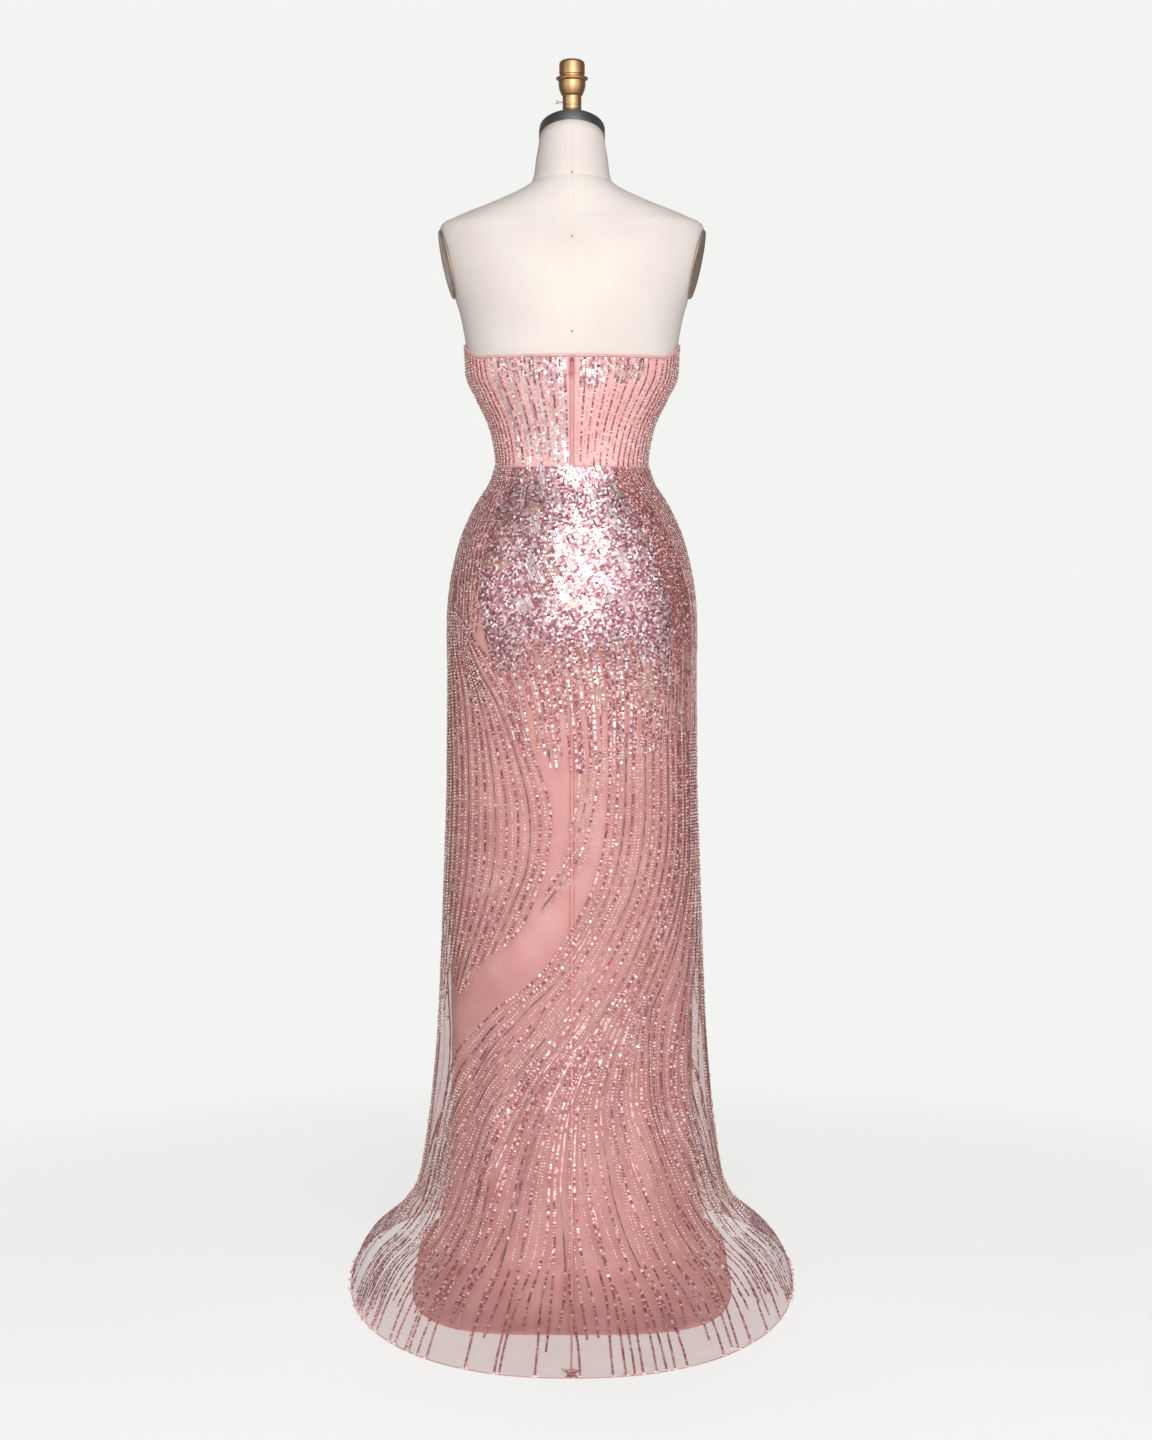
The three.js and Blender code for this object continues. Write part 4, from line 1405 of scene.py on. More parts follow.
def glint(line: np.ndarray) -> np.ndarray:
    """Return how much a place on the hips belongs to a cluster of long bars, up to 1.

    Args:
        line: levels and angles.

    Returns:
        A share for each point.
    """
    level, start = line[:, 0], line[0, 1]
    cluster = math.sin(start * 0.45 + 1.1) * np.sin(level / 15 + start * 0.16 + 0.5)
    return cluster * smooth(935, 975, level) * smooth(36, 26, np.abs(line[:, 1]))


def mirrored(line: np.ndarray) -> np.ndarray:
    """Carry a line of the back over to the front, past the side seam.

    Args:
        line: levels and angles.

    Returns:
        The same, counted from the front.
    """
    turned_line = line.copy()
    turned_line[:, 1] = np.where(line[:, 1] > 0, 180, -180) - line[:, 1]
    return turned_line


class Beadwork:
    """All the strings of sequins and beads on the gown."""

    def __init__(self) -> None:
        """Fix the random draws."""
        self.draw = np.random.default_rng(11)

    def on_skirt(
        self, line: np.ndarray, wander: float = 0.0, raised: float = 0.0
    ) -> tuple[np.ndarray, np.ndarray]:
        """Lay a line of levels and angles on the overlay.

        Args:
            line: levels and angles.
            wander: degrees that it strays by near the floor.
            raised: millimetres that it lies over the other beads.

        Returns:
            Points and normals.
        """
        level, angle = line[:, 0], line[:, 1]
        if wander:
            phase = self.draw.random() * 6.28
            low = 1 - smooth(20, 260, level)
            angle = angle + wander * low * np.sin(np.linspace(0, 9, len(angle)) + phase)
        place = OVERLAY.place(level)
        lift = OVERLAY_OFFSET * OVERLAY.hold(place)[:, None] + OVERLAY_THICKNESS + BEAD_LIFT + raised
        points, out = skirt_skin(OVERLAY, angle, place)
        points = points + out * lift
        points[:, 2] = np.maximum(points[:, 2], BEAD_LOWEST)
        return points, out

    def on_bodice(self, line: np.ndarray) -> tuple[np.ndarray, np.ndarray]:
        """Lay a line of height shares and angles on the bodice.

        Args:
            line: shares of the bodice's height, and angles.

        Returns:
            Points and normals.
        """
        low = WAIST + SEAM_GAP + 1.5
        top = neckline(line[:, 1]) - 2.0
        return figure_skin(line[:, 1], low + (top - low) * line[:, 0], EASE + BODICE_THICKNESS + BEAD_LIFT)

    def gather(self, sweeps: tuple[Sweep, ...], front: bool) -> list[np.ndarray]:
        """Return the lines of several families, on the back or carried to the front."""
        lines = [line for sweep in sweeps for line in sweep.lines(self.draw)]
        return [mirrored(line) if front else line * (1, -1) for line in lines]

    def hips(self) -> None:
        """Cover the hips with large bright sequins in the middle and fine rows at the sides."""
        for side, front in (("back", False), ("front", True)):
            middle, bars, fringe, fine, seeds = (Lines() for _ in range(5))
            for number, line in enumerate(self.gather((HIP_CENTRE,), front)):
                over = ragged(line, HIP_FRINGE)
                first = number < HIP_CENTRE.counts[0]
                for part in runs(line, over):
                    (fine if first else middle).add(*self.on_skirt(part))
                for part in runs(line, ~over):
                    if number % 5:
                        (middle, fringe, seeds, fine, fine)[number % 5].add(*self.on_skirt(part))
                for part in runs(line, glint(line) > GLINT_LEAST):
                    bars.add(*self.on_skirt(part, raised=0.6))
            for number, line in enumerate(self.gather((HIP_LEFT, HIP_RIGHT), front)):
                over = ragged(line, SIDE_FRINGE)
                for part in runs(line, over):
                    (seeds if number % 3 == 1 else fine).add(*self.on_skirt(part))
                low = ~over & (line[:, 0] > SIDE_END + SIDE_RAGGED * math.sin(number * 2.3))
                for part in runs(line, low) if number % 2 else ():
                    (seeds if number % 4 == 1 else fine).add(*self.on_skirt(part))
            large = Stringing(Bead.SEQUIN, size=3.8, pitch=2.9, tilt=10, apart=2.4, seed=3, scatter=0.25)
            string_beads(f"hip_sequins_{side}", middle, large, HIP_FOIL)
            long_bars = Stringing(Bead.BAR, size=8.5, pitch=9.4, tilt=3, apart=3.2, seed=21, scatter=0.2)
            if not front:
                string_beads(f"hip_bars_{side}", bars, long_bars, BRIGHT_FOIL)
            parted = Stringing(Bead.SEQUIN, size=3.9, pitch=2.6, tilt=14, apart=2.0, seed=23, scatter=0.3)
            string_beads(f"hip_fringe_{side}", fringe, parted, HIP_FOIL)
            small = Stringing(Bead.SEQUIN, size=3.0, pitch=2.2, tilt=22, apart=1.6, seed=4, scatter=0.3)
            string_beads(f"hip_side_sequins_{side}", fine, small, FOIL)
            round_ones = Stringing(Bead.SEED, size=2.4, pitch=2.8, tilt=40, apart=2.0, seed=6, scatter=0.2)
            string_beads(f"hip_side_beads_{side}", seeds, round_ones, BEAD_GLASS)

    def skirt(self) -> None:
        """Lay the long lines of the skirt, dark and pale in turn, and the nubs that end them at the hem."""
        families = (LEFT_SWEEP, LEFT_INNER, RIGHT_INNER, RIGHT_SWEEP, RIGHT_EDGE)
        for side, front in (("back", False), ("front", True)):
            ropes, strings, bugles, bright, nubs = (Lines() for _ in range(5))
            for number, line in enumerate(self.gather(families, front)):
                points, out = self.on_skirt(line, wander=NET_WANDER)
                kind = (ropes, strings, bugles, strings, ropes, strings)[number % 6]
                shown = line[:, 0] > NET_ALONE
                for lines, chosen in ((kind, shown), (ropes, ~shown)):
                    for part in runs(np.arange(len(line)), chosen):
                        lines.add(points[part], out[part])
                if number % 5 == 2:
                    bright.add(points, out)
                if line[-1, 0] < 0:
                    self.add_nub(nubs, points[-1], out[-1])
            if not front:
                for line in self.gather((SIDE_LATTICE, SIDE_LATTICE_BACK), front):
                    bugles.add(*self.on_skirt(line))
                for line in self.gather((HEM_GATHER,), front):
                    ropes.add(*self.on_skirt(line, raised=0.8))
            rope = Stringing(Bead.SEQUIN, size=3.9, pitch=2.3, tilt=15, apart=1.9, seed=5, scatter=0.25)
            string_beads(f"skirt_sequins_{side}", ropes, rope, FOIL)
            seeds = Stringing(Bead.SEED, size=3.0, pitch=4.6, tilt=40, apart=2.6, seed=7, scatter=0.2)
            string_beads(f"skirt_beads_{side}", strings, seeds, BEAD_GLASS)
            tubes = Stringing(Bead.BAR, size=6.6, pitch=6.9, tilt=5, apart=2.6, seed=25, scatter=0.2)
            string_beads(f"skirt_bugles_{side}", bugles, tubes, MAUVE_BUGLE)
            sparks = Stringing(Bead.SEQUIN, size=4.2, pitch=38, tilt=16, apart=3, seed=9, scatter=2)
            string_beads(f"skirt_sparks_{side}", bright, sparks, BRIGHT_FOIL)
            knots = Stringing(Bead.SEED, size=2.8, pitch=2.6, tilt=40, apart=1.8, seed=8, scatter=0.4)
            string_beads(f"hem_nubs_{side}", nubs, knots, BEAD_GLASS)

    def add_nub(self, nubs: Lines, end: np.ndarray, out: np.ndarray, radius: float = 3.2) -> None:
        """Add a small ring at a line's end, for a knot of beads.

        Args:
            nubs: the lines that get it.
            end: the line's last point.
            out: the normal there.
            radius: of the ring.
        """
        turn = np.linspace(0, 2 * math.pi, 9)
        ring = np.stack([np.cos(turn), np.sin(turn), np.zeros_like(turn)], axis=-1)
        for share in (1.0, 0.35):
            nubs.add(end + ring * radius * share + out * (1 - share), np.repeat(out[None], len(turn), axis=0))

    def bodice(self) -> None:
        """Lay the upright lines of the bodice."""
        ropes, strings, bars, bright, white = (Lines() for _ in range(5))
        for front in (False, True):
            for number, line in enumerate(self.gather((BODICE_LEFT, BODICE_SIDE), front)):
                (ropes if number % 2 else strings).add(*self.on_bodice(line))
            for number, line in enumerate(self.gather((BODICE_RIGHT,), front)):
                (bright, bars, white, strings)[number % 4].add(*self.on_bodice(line))
            for number, line in enumerate(self.gather((BODICE_TOP,), front)):
                (bright if number % 3 else white).add(*self.on_bodice(line))
        rope = Stringing(Bead.SEQUIN, size=3.1, pitch=2.3, tilt=17, apart=1.9, seed=13, scatter=0.4)
        string_beads("bodice_sequins", ropes, rope, FOIL)
        large = Stringing(Bead.SEQUIN, size=3.8, pitch=3.3, tilt=11, apart=2.6, seed=14, scatter=0.6)
        string_beads("bodice_bright_sequins", bright, large, HIP_FOIL)
        pale = Stringing(Bead.SEQUIN, size=3.5, pitch=3.6, tilt=11, apart=2.4, seed=15, scatter=0.5)
        string_beads("bodice_pale_sequins", white, pale, BRIGHT_FOIL)
        seeds = Stringing(Bead.SEED, size=2.8, pitch=4.0, tilt=40, apart=2.4, seed=17, scatter=0.2)
        string_beads("bodice_beads", strings, seeds, BEAD_GLASS)
        long_bars = Stringing(Bead.BAR, size=8.5, pitch=9.6, tilt=5, apart=3, seed=19, scatter=0.4)
        string_beads("bodice_bars", bars, long_bars, BRIGHT_FOIL)

    def build(self) -> None:
        """Lay all of it."""
        self.bodice()
        self.hips()
        self.skirt()


# Cloth


@dataclass(frozen=True)
class Panel:
    """A cut panel between two angles.

    Attributes:
        node: the solid that it stands for.
        start: its first edge.
        stop: its second edge.
        flat: the cut's width and length in metres.
        area: the cut's area in square metres.
    """

    node: str
    start: float
    stop: float
    flat: tuple[float, float]
    area: float


def seam_half(z: np.ndarray, at_back: bool) -> np.ndarray:
    """Return half the gap at a panel's edge: the zip's opening at the middle of the back, else a seam.

    Args:
        z: heights along the edge.
        at_back: whether the edge is the one with the zip.

    Returns:
        Millimetres for each height.
    """
    if not at_back:
        return np.full_like(z, SEAM_GAP / 2)
    return np.where(z > ZIP_BOTTOM - 2, ZIP_OPENING / 2, SEAM_GAP / 2)


FIRST_TURN = 0.1  # degrees
TURN_STEPS = 12


def panel_angles(surface: Surface, panel: Panel, place: np.ndarray, columns: int) -> np.ndarray:
    """Spread a panel's columns between its two seams.

    Args:
        surface: points by angle and place.
        panel: its edges.
        place: one value for each row.
        columns: how many.

    Returns:
        Angles, as rows by columns.
    """
    edges = []
    # Each seam's half gap is reached by scaling a small turn until its chord is as long as the gap.
    for edge, sign in ((panel.start, 1), (panel.stop, -1)):
        at = np.full_like(place, edge)
        seam = surface(at, place)
        wanted = seam_half(seam[:, 2], edge % FULL == 0)
        turn = np.full_like(place, FIRST_TURN)
        for _ in range(TURN_STEPS):
            turn *= wanted / np.linalg.norm(surface(at + sign * turn, place) - seam, axis=-1)
        edges.append(at + sign * turn)
    share = np.linspace(0, 1, columns)
    return edges[0][:, None] * (1 - share) + edges[1][:, None] * share


class Bodice:
    """The bodice's three panels and the binding on their top edge."""

    PANELS = (
        Panel("bodice_front", 90, 270, (0.48, 0.232), 0.0845),
        Panel("bodice_back_left", 0, 90, (0.204, 0.182), 0.0272),
        Panel("bodice_back_right", 270, 360, (0.204, 0.182), 0.0272),
    )
    rows: int = 36

    def build(self) -> None:
        """Make and dress the panels."""
        for panel in self.PANELS:
            columns = 96 if panel.node == "bodice_front" else 48
            share = np.linspace(0, 1, self.rows)
            low = WAIST + SEAM_GAP / 2
            level = low + (NECKLINE_SIDE - low) * share
            angle = panel_angles(FIGURE.point, panel, level, columns)
            height = low + (neckline(angle) - low) * share[:, None]
            points, _ = figure_skin(angle, height, EASE + BODICE_THICKNESS)
            points[0, :, 2] = low
            piece = grid_mesh(f"{panel.node}_cloth", points)
            face_outwards(piece, away_from_axis)
            give_thickness(piece, BODICE_THICKNESS)
            settle(piece, SATIN, panel.node)
        self.binding()

    def binding(self) -> None:
        """Make the rolled binding along the top edge."""
        along = np.linspace(0, FULL, 240)
        start = math.degrees(ZIP_OPENING / 2 / 102)
        angle = start + along / FULL * (FULL - 2 * start)
        turn = np.radians(np.linspace(0, 360, 13)[:-1])
        middle = neckline(angle) + SEAM_GAP + BINDING_HEIGHT / 2
        up = np.sin(turn) * BINDING_HEIGHT / 2
        deep = np.cos(turn) * (BODICE_THICKNESS / 2 + 0.5)
        middle_depth = EASE + BODICE_THICKNESS / 2 + 0.4
        rings = [figure_skin(angle, middle + lift, middle_depth + depth)[0] for lift, depth in zip(up, deep)]
        piece = tubes("neckline_roll", np.stack(rings, axis=1)[None], sharp=60)
        piece.data.uv_layers.new(name="cut")
        settle(piece, BINDING_SATIN, "neckline_binding")


class SkirtLayer:
    """The three panels of one layer of the skirt."""

    def __init__(
        self, layer: Skirt, panels: tuple[Panel, ...], offset: float, thickness: float, finish: Satin | Net
    ) -> None:
        """Keep the layer's shape and cut.

        Args:
            layer: its surface.
            panels: its cut.
            offset: from the surface to its inner face.
            thickness: of the cloth.
            finish: its material.
        """
        self.layer = layer
        self.panels = panels
        self.offset = offset
        self.thickness = thickness
        self.finish = finish

    def places(self, spacing: float) -> np.ndarray:
        """Return row places about one spacing apart down the middle of the back."""
        fine = np.linspace(0, self.layer.last, 1200)
        line = self.layer.point(np.zeros_like(fine), fine)
        run = np.concatenate([[0], np.linalg.norm(np.diff(line, axis=0), axis=1).cumsum()])
        return np.interp(np.linspace(0, run[-1], int(run[-1] / spacing)), run, fine)

    def build(self, columns: int, spacing: float, slot: str, rests_on: tuple[str, ...]) -> None:
        """Make and dress the panels.

        Args:
            columns: how many all round.
            spacing: millimetres between rows.
            slot: not used.
            rests_on: not used.
        """
        place = self.places(spacing)
        for panel in self.panels:
            count = int(columns * (panel.stop - panel.start) / FULL)
            angle = panel_angles(self.layer.point, panel, place, count)
            rows = np.broadcast_to(place[:, None], angle.shape)
            points, out = skirt_skin(self.layer, angle, rows)
            points = points + out * (self.offset * self.layer.hold(rows) + self.thickness)[..., None]
            points[..., 2] = np.clip(points[..., 2], self.thickness, WAIST - SEAM_GAP / 2)
            piece = grid_mesh(f"{panel.node}_cloth", points)
            face_outwards(piece, away_from_axis)
            give_thickness(piece, self.thickness * 0.6)
            settle(piece, self.finish, panel.node)


def cord_along(name: str, line: np.ndarray, across: np.ndarray, up: np.ndarray) -> bpy.types.Object:
    """Make a closed cord with an oval section along a line.

    Args:
        name: the object's name.
        line: the middle of the cord, in millimetres.
        across: half its width as a vector at each point.
        up: half its height as a vector at each point.

    Returns:
        The new object.
    """
    turn = np.radians(np.arange(0, 360, 60))
    rings = line[:, None] + across[:, None] * np.cos(turn)[:, None] + up[:, None] * np.sin(turn)[:, None]
    piece = tubes(name, rings[None], sharp=80)
    piece.data.uv_layers.new(name="cut")
    return piece


class Sewing:
    """The ridge of the back seam under the zip, and the rolled hem of the overlay."""

    seam_half_width: float = 1.3
    seam_half_height: float = 0.5
    hem_radius: float = 0.7

    def skin(self, angle: np.ndarray, place: np.ndarray, lift: float) -> tuple[np.ndarray, np.ndarray]:
        """Return points of the overlay's outer face, raised by lift, and the normals there."""
        points, out = skirt_skin(OVERLAY, angle, place)
        return points + out * (OVERLAY_OFFSET * OVERLAY.hold(place)[:, None] + OVERLAY_THICKNESS + lift), out

    def build(self) -> None:
        """Make the seam and the hem."""
        place = np.linspace(OVERLAY.place(ZIP_BOTTOM), OVERLAY.last, 220)
        line, out = self.skin(np.zeros_like(place), place, 0.1)
        across = np.zeros_like(line)
        across[:, 0] = self.seam_half_width
        settle(cord_along("back_seam_ridge", line, across, out * self.seam_half_height), SEAM_SATIN)
        angle = np.linspace(0.3, FULL - 0.3, 480)
        edge, _ = self.skin(angle, np.full_like(angle, float(OVERLAY.last)), 0)
        edge[:, 2] = np.maximum(edge[:, 2], self.hem_radius)
        turn = np.radians(angle)
        outward = np.stack([np.sin(turn), np.cos(turn), np.zeros_like(turn)], axis=-1)
        rise = np.zeros_like(edge)
        rise[:, 2] = self.hem_radius
        settle(cord_along("rolled_hem", edge, outward * self.hem_radius, rise), EDGE_SATIN)


LINING_PANELS = (
    Panel("lining_front", 90, 270, (0.674, 1.181), 0.5233),
    Panel("lining_back_left", 0, 90, (0.544, 1.29), 0.3269),
    Panel("lining_back_right", 270, 360, (0.544, 1.29), 0.3269),
)
OVERLAY_PANELS = (
    Panel("overlay_front", 90, 270, (0.922, 1.209), 0.6069),
    Panel("overlay_back_left", 0, 90, (0.755, 1.464), 0.4072),
    Panel("overlay_back_right", 270, 360, (0.755, 1.464), 0.4072),
)


class Zip:
    """The closed zip: two cloth lips over the coil, the slider and its pull."""

    lip: float = 2.15
    rows: int = 70

    def lips(self) -> None:
        """Make the two rolled edges that meet over the coil."""
        low, high = ZIP_BOTTOM + 1, NECKLINE_BACK + SEAM_GAP + BINDING_HEIGHT
        z = np.linspace(low, high, self.rows)
        middle, out = figure_skin(np.zeros_like(z), z, EASE + 0.9)
        profile = ((0, 0.2), (0.15, 1), (0.7, 1.75), (1.5, 1.6), (self.lip, 0.9), (self.lip, -0.6), (0, -0.6))
        points = [
            (side * (across + 0.05), *(centre + normal * lift)[1:])
            for side in (-1, 1)
            for centre, normal in zip(middle, out)
            for across, lift in profile
        ]
        piece = tubes("zip_lips", np.array(points).reshape(2, self.rows, len(profile), 3), sharp=70)
        piece.data.uv_layers.new(name="cut")
        settle(piece, BINDING_SATIN, "zip_tape")

    def build(self) -> None:
        """Make the lips and dress the metal parts."""
        self.lips()
        for name in ("zip_slider", "zip_pull"):
            DRESSER.dress(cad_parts[name], LACQUERED_ZINC)


# The dress form


class Form:
    """The limbless dress form and its stand."""

    plate_x: float = 178.0
    plate_y: float = -2.0
    plate_z: float = 1449.0
    plate_high: float = 50.0
    plate_deep: float = 40.0
    fitting_y: float = -5.0
    fitting_base: float = 1652.0
    cap_lean: float = 0.385
    neck_seam: float = 1564.5
    seam_depth: float = 0.7
    rim_reach: float = 14.0  # how far past a plate's edge the canvas is flattened for it

    def canvas(self) -> None:
        """Make the canvas body with its sewn seams."""
        even = np.linspace(0, FULL, 121)[:-1]
        near = np.array([-1.5, -0.8, -0.35, 0.35, 0.8, 1.5]) % FULL
        angle = np.sort(np.concatenate([even, near, (180 + np.array([-0.8, -0.35, 0.35, 0.8]))]))
        heights = np.array([row[0] for row in FIGURE_ROWS])
        spans = zip(heights, heights[1:])
        fine = [np.linspace(a, b, max(2, int((b - a) / 8)), endpoint=False) for a, b in spans]
        beside = self.neck_seam + np.array([-1.6, -0.7, 0.0, 0.7, 1.6])
        turn, level = np.meshgrid(angle, np.sort(np.concatenate([*fine, [NECK_TOP], beside])))
        points, out = figure_skin(turn, level, 0)
        from_back = np.abs((turn + 180) % FULL - 180) * 1.8
        from_front = np.abs(turn - 180) * 2
        groove = self.seam_depth * np.exp(-((np.minimum(from_back, from_front) / 0.9) ** 2))
        groove += self.seam_depth * np.exp(-(((level - self.neck_seam) / 0.8) ** 2))
        points = points - out * groove[..., None]
        for side in (1, -1):
            centre, square, across, up = self.arm_frame(side)
            away = points - centre
            high = away @ square
            wide, tall = self.plate_deep + self.rim_reach, self.plate_high + self.rim_reach
            rim = np.hypot((away @ across) / wide, (away @ up) / tall)
            inside = 1 - smooth(0.9, 1.04, rim)
            points = points - square * (np.maximum(high, 0) * inside)[..., None]
        piece = grid_mesh("form_canvas", points, closed=True)
        face_outwards(piece, away_from_axis)
        self.close_ends(piece)
        settle(piece, CANVAS, "form_torso")

    def close_ends(self, piece: bpy.types.Object) -> None:
        """Fill the open rings at a tube's two ends.

        Args:
            piece: the tube.
        """
        work = bmesh.new()
        work.from_mesh(piece.data)
        edges = [edge for edge in work.edges if edge.is_boundary]
        bmesh.ops.contextual_create(work, geom=edges)
        bmesh.ops.holes_fill(work, edges=[edge for edge in work.edges if edge.is_boundary], sides=0)
        bmesh.ops.recalc_face_normals(work, faces=work.faces)
        work.to_mesh(piece.data)
        work.free()

    def arm_frame(self, side: int) -> tuple[np.ndarray, np.ndarray, np.ndarray, np.ndarray]:
        """Return an arm plate's middle, its outward direction, and the directions across and up it.

        Args:
            side: 1 for the wearer's left and -1 for the right.

        Returns:
            A point and three unit vectors.
        """
        out = np.array([side * 1.0, 0.14, -0.22])
        out /= np.linalg.norm(out)
        across = np.cross((0, 0, 1), out)
        across /= np.linalg.norm(across)
        return np.array([side * self.plate_x, self.plate_y, self.plate_z]), out, across, np.cross(out, across)

    def arm_plates(self) -> None:
        """Make the oval plates over the armholes."""
        profile = ((0, 3.4), (0.8, 3.4), (0.9, 3.6), (0.97, 3.1), (1, 2.2), (1, 0.4), (0, 0.4))
        for name, side in (("left", 1), ("right", -1)):
            centre, out, across, up = self.arm_frame(side)
            axes = (across * self.plate_deep, up * self.plate_high, out)
            piece = turned(f"arm_plate_{name}_disc", profile, centre, axes, segments=72)
            settle(piece, BRONZED_PLATE, f"arm_plate_{name}")

    def neck_cap(self) -> None:
        """Make the brushed steel cap on the slanted neck."""
        tilt = math.atan(self.cap_lean)
        rise = np.array([0, -math.sin(tilt), math.cos(tilt)])
        angle = np.linspace(0, FULL, 97)[:-1]
        skin = FIGURE.point(angle, np.full_like(angle, NECK_TOP))
        spread = skin.copy()
        spread[:, 2] = 0
        spread /= np.linalg.norm(spread, axis=1, keepdims=True)
        profile = ((0.3, 0.2), (0.8, 0.7), (14.1, 0.7), (15.7, 0.1), (16.5, -1.6), (16.5, -30))
        rings = np.stack([skin + spread * grow + rise * lift for lift, grow in profile])
        settle(tubes("neck_cap_steel", rings[None], sharp=50), BRUSHED_STEEL, "neck_cap")

    def fitting(self) -> None:
        """Make the turned brass fitting on the cap."""
        body = ((0, -3), (12.6, -3), (12.6, 17), (13.6, 18), (13.6, 22), (13.1, 22.6), (13.1, 24))
        body += ((13.6, 24.6), (13.6, 36.4), (14.6, 37.4), (16.2, 40), (18, 45), (19.1, 49))
        body += ((19.4, 53), (19.4, 58.1), (0, 58.1))
        ring = ((0, 58.5), (20.4, 58.5), (22.6, 59.7), (23.2, 61.2), (22.6, 62.7), (20.4, 63.9), (0, 63.9))
        dome = ((0, 64.3), (17.2, 64.3), (17.2, 66.4), (18.4, 67.4), (18.4, 81), (17.4, 84.8))
        dome += ((14.4, 87.4), (9, 88.8), (0, 89))
        for name, profile, node in (
            ("brass_body", body, "fitting_body"),
            ("brass_ring", ring, "fitting_ring"),
            ("brass_dome", dome, "fitting_dome"),
        ):
            piece = turned(name, profile, (0, self.fitting_y, self.fitting_base))
            bevelled(piece, 0.4)
            settle(piece, TURNED_BRASS, node)
        DRESSER.dress(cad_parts["fitting_screw"], TURNED_BRASS)

    def tacks(self) -> None:
        """Make the small tacks down the middle of the back."""
        profile = ((0, 1.0), (1.0, 0.75), (1.5, 0.2), (1.5, -0.4), (0, -0.4))
        for number, z in enumerate((1566.0, 1478.0, 1345.0)):
            (centre,), (out,) = figure_skin(np.array([0.0]), np.array([z]), 0)
            axes = ((1, 0, 0), (0, 0, 1), out)
            piece = turned(f"back_tack_{number + 1}", profile, centre, axes, segments=16, sharp=60)
            settle(piece, BRONZED_PLATE)

    def stand(self) -> None:
        """Make the pole, hub and foot."""
        pole = ((0, 46.3), (13, 46.3), (14, 47.3), (14, 848.7), (13, 849.7), (0, 849.7))
        hub = ((0, 14.3), (31, 14.3), (32, 15.5), (29, 20), (24, 26), (20.5, 36), (19.5, 44.5))
        hub += ((18.5, 46), (0, 46))
        foot = ((0, 0), (144, 0), (145, 1), (145, 7), (143, 11), (138, 13.4), (128, 14), (0, 14))
        parts = (
            ("pole_tube", pole, "stand_pole", BRUSHED_STEEL, "steel"),
            ("hub_cone", hub, "stand_hub", PAINTED_IRON, "cast_iron"),
            ("foot_disc", foot, "stand_foot", PAINTED_IRON, "cast_iron"),
        )
        for name, profile, node, finish, slot in parts:
            settle(turned(name, profile, segments=96), finish, node)

    def build(self) -> None:
        """Make all of the form."""
        self.canvas()
        self.arm_plates()
        self.neck_cap()
        self.fitting()
        self.tacks()
        self.stand()


# Studio


CHEST = (0, 0, 1.0)
LIGHTS = (
    ("high_softbox", (-0.6, 3.5, 3.1), (2.4, 2.4), 60, CHEST),
    ("low_softbox", (-0.3, 3.7, 0.75), (2.0, 1.1), 22, (0, 0, 0.15)),
    ("train_light", (-0.2, 2.7, 1.8), (1.6, 0.7), 17, (0, 0.55, 0)),
    ("small_flash", (-0.2, 4.25, 1.5), (0.5, 0.5), 8, CHEST),
    ("left_fill", (2.8, 2.2, 1.5), (1.4, 2.2), 13, (0, 0, 0.7)),
    ("right_fill", (-2.8, 2.2, 1.5), (1.4, 2.2), 13, (0, 0, 0.7)),
    ("front_fill", (0.4, -3.8, 2.4), (2.4, 2.4), 40, CHEST),
)


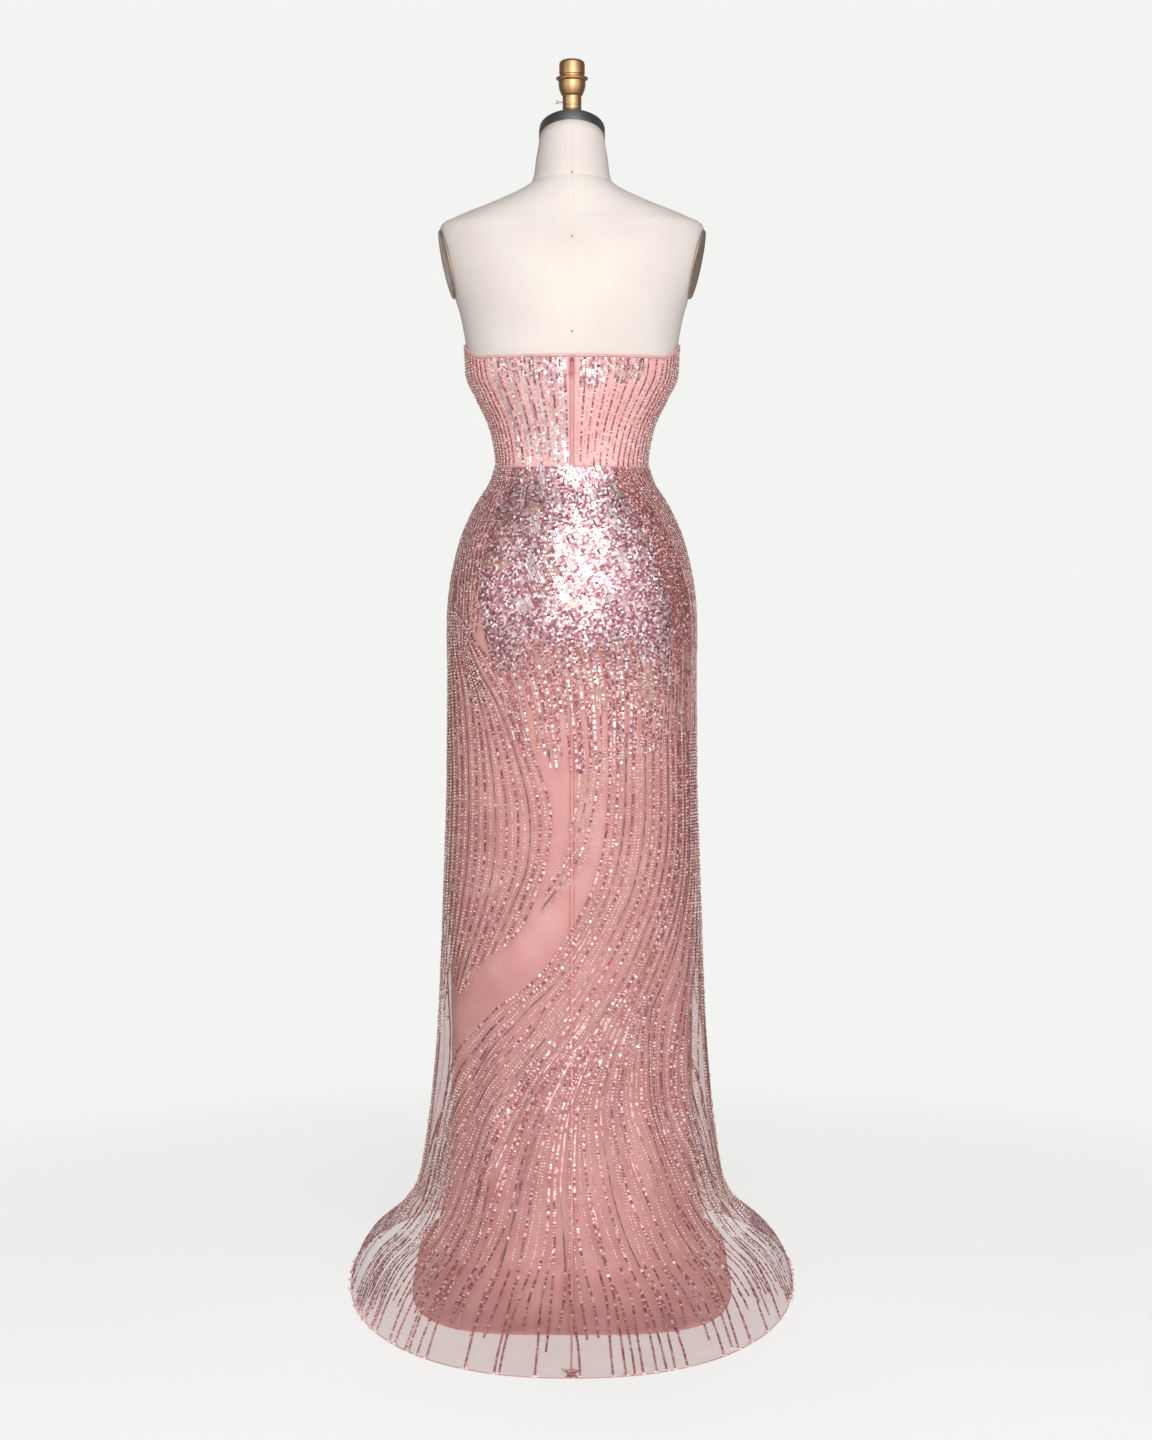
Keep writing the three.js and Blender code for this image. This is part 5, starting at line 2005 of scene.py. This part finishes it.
class Studio:
    """The plain pale floor, the soft lights and the camera."""

    backdrop: str = "#F3F3F2"
    floor_paint: str = "#8A8A89"
    floor_glow: float = 0.76
    floor_reach: float = 9.0
    camera_distance: float = 4.195
    camera_height: float = 1.0
    aim_height: float = 0.795
    side_step: float = -0.0058
    lens: float = 72.7

    def floor(self) -> None:
        """Lay a pale floor whose far edge fades into the backdrop."""
        reach = self.floor_reach / MM
        piece = turned("studio_floor", ((0, -2.0), (reach, -2.0), (reach, 0.0), (0, 0.0)))
        material, tree, shader = new_material("pale_painted_floor")
        place = add_node(tree, "ShaderNodeTexCoord").outputs["Object"]
        away = add_node(tree, "ShaderNodeVectorMath", {0: place}, operation="LENGTH")
        # The floor is whole up to 0.7 m from the pole and gone at 1.7 m.
        ends = {"Value": away.outputs["Value"], "From Min": 0.7, "From Max": 1.7, "To Min": 1, "To Max": 0}
        fade = add_node(tree, "ShaderNodeMapRange", ends, interpolation_type="SMOOTHSTEP").outputs["Result"]
        glow = {"Emission Color": linear(self.backdrop), "Emission Strength": self.floor_glow}
        paint = {"Base Color": linear(self.floor_paint), "Roughness": 0.8, "Specular IOR Level": 0.1}
        connect(tree, shader, {"Alpha": fade, **paint, **glow})
        piece.data.materials.append(material)

    def world(self) -> None:
        """Set the pale surround and its light, which is bright behind the camera and dim at the sides."""
        world = bpy.data.worlds.new("studio_surround")
        bpy.context.scene.world = world
        world.use_nodes = True
        tree = world.node_tree
        tree.nodes.clear()
        direction = add_node(tree, "ShaderNodeTexCoord").outputs["Generated"]
        split = add_node(tree, "ShaderNodeSeparateXYZ", {"Vector": direction})
        ends = {"Value": split.outputs["Y"], "From Min": -1, "From Max": 1}
        depth = add_node(tree, "ShaderNodeMapRange", ends)
        stops = ((0.0, "#8C8C8C"), (0.42, "#4E4E4E"), (0.6, "#5E5E5E"), (0.85, "#B4B4B4"), (1.0, "#C8C8C8"))
        light = add_node(tree, "ShaderNodeValToRGB", {"Fac": depth.outputs["Result"]}, stops)
        seen = add_node(tree, "ShaderNodeBackground", {"Color": linear(self.backdrop)})
        given = add_node(tree, "ShaderNodeBackground", {"Color": light.outputs["Color"], "Strength": 1.0})
        path = add_node(tree, "ShaderNodeLightPath")
        both = {1: given.outputs["Background"], 2: seen.outputs["Background"]}
        mixed = add_node(tree, "ShaderNodeMixShader", {0: path.outputs["Is Camera Ray"], **both})
        add_node(tree, "ShaderNodeOutputWorld", {"Surface": mixed.outputs["Shader"]})

    def light(self, name: str, place: tuple, size: tuple, power: float, aim: tuple) -> None:
        """Hang one soft light.

        Args:
            name: its name.
            place: metres.
            size: its width and height in metres.
            power: watts.
            aim: the point that it faces.
        """
        lamp = bpy.data.lights.new(name, "AREA")
        lamp.shape = "RECTANGLE"
        lamp.size, lamp.size_y = size
        lamp.energy = power
        holder = bpy.data.objects.new(name, lamp)
        holder.location = place
        self.turn(holder, np.array(aim) - np.array(place))
        bpy.context.scene.collection.objects.link(holder)

    @staticmethod
    def turn(holder: bpy.types.Object, aim: np.ndarray) -> None:
        """Point an object's -Z along a direction, with its top up."""
        x, y, z = aim / np.linalg.norm(aim)
        holder.rotation_euler = (math.acos(-z), 0, math.atan2(y, x) - math.pi / 2)

    def camera(self) -> None:
        """Place the camera behind the gown, at the photograph's angle."""
        data = bpy.data.cameras.new("camera")
        data.sensor_fit = "VERTICAL"
        data.sensor_height = 36
        data.lens = self.lens
        holder = bpy.data.objects.new("camera", data)
        holder.location = (self.side_step, self.camera_distance, self.camera_height)
        aim = np.array([self.side_step, 0, self.aim_height]) - np.array(holder.location)
        self.turn(holder, aim)
        bpy.context.scene.collection.objects.link(holder)
        bpy.context.scene.camera = holder

    def build(self) -> None:
        """Set the whole studio."""
        self.camera()
        self.floor()
        self.world()
        for name, place, size, power, aim in LIGHTS:
            self.light(name, place, size, power, aim)
        bpy.context.scene.view_settings.view_transform = "Standard"


def main() -> None:
    """Build the studio, the form and the gown in order."""
    logging.basicConfig(level=logging.INFO, format="%(name)s: %(message)s")
    Studio().build()
    Form().build()
    Bodice().build()
    SkirtLayer(LINING, LINING_PANELS, EASE, LINING_THICKNESS, SATIN).build(150, 14, "satin", ("form_canvas",))
    SkirtLayer(OVERLAY, OVERLAY_PANELS, OVERLAY_OFFSET, OVERLAY_THICKNESS, NET).build(
        300, 11, "beaded_net", ("lining_front_cloth", "lining_back_left_cloth", "lining_back_right_cloth")
    )
    Sewing().build()
    Zip().build()
    Beadwork().build()


if __name__ == "__main__":
    main()
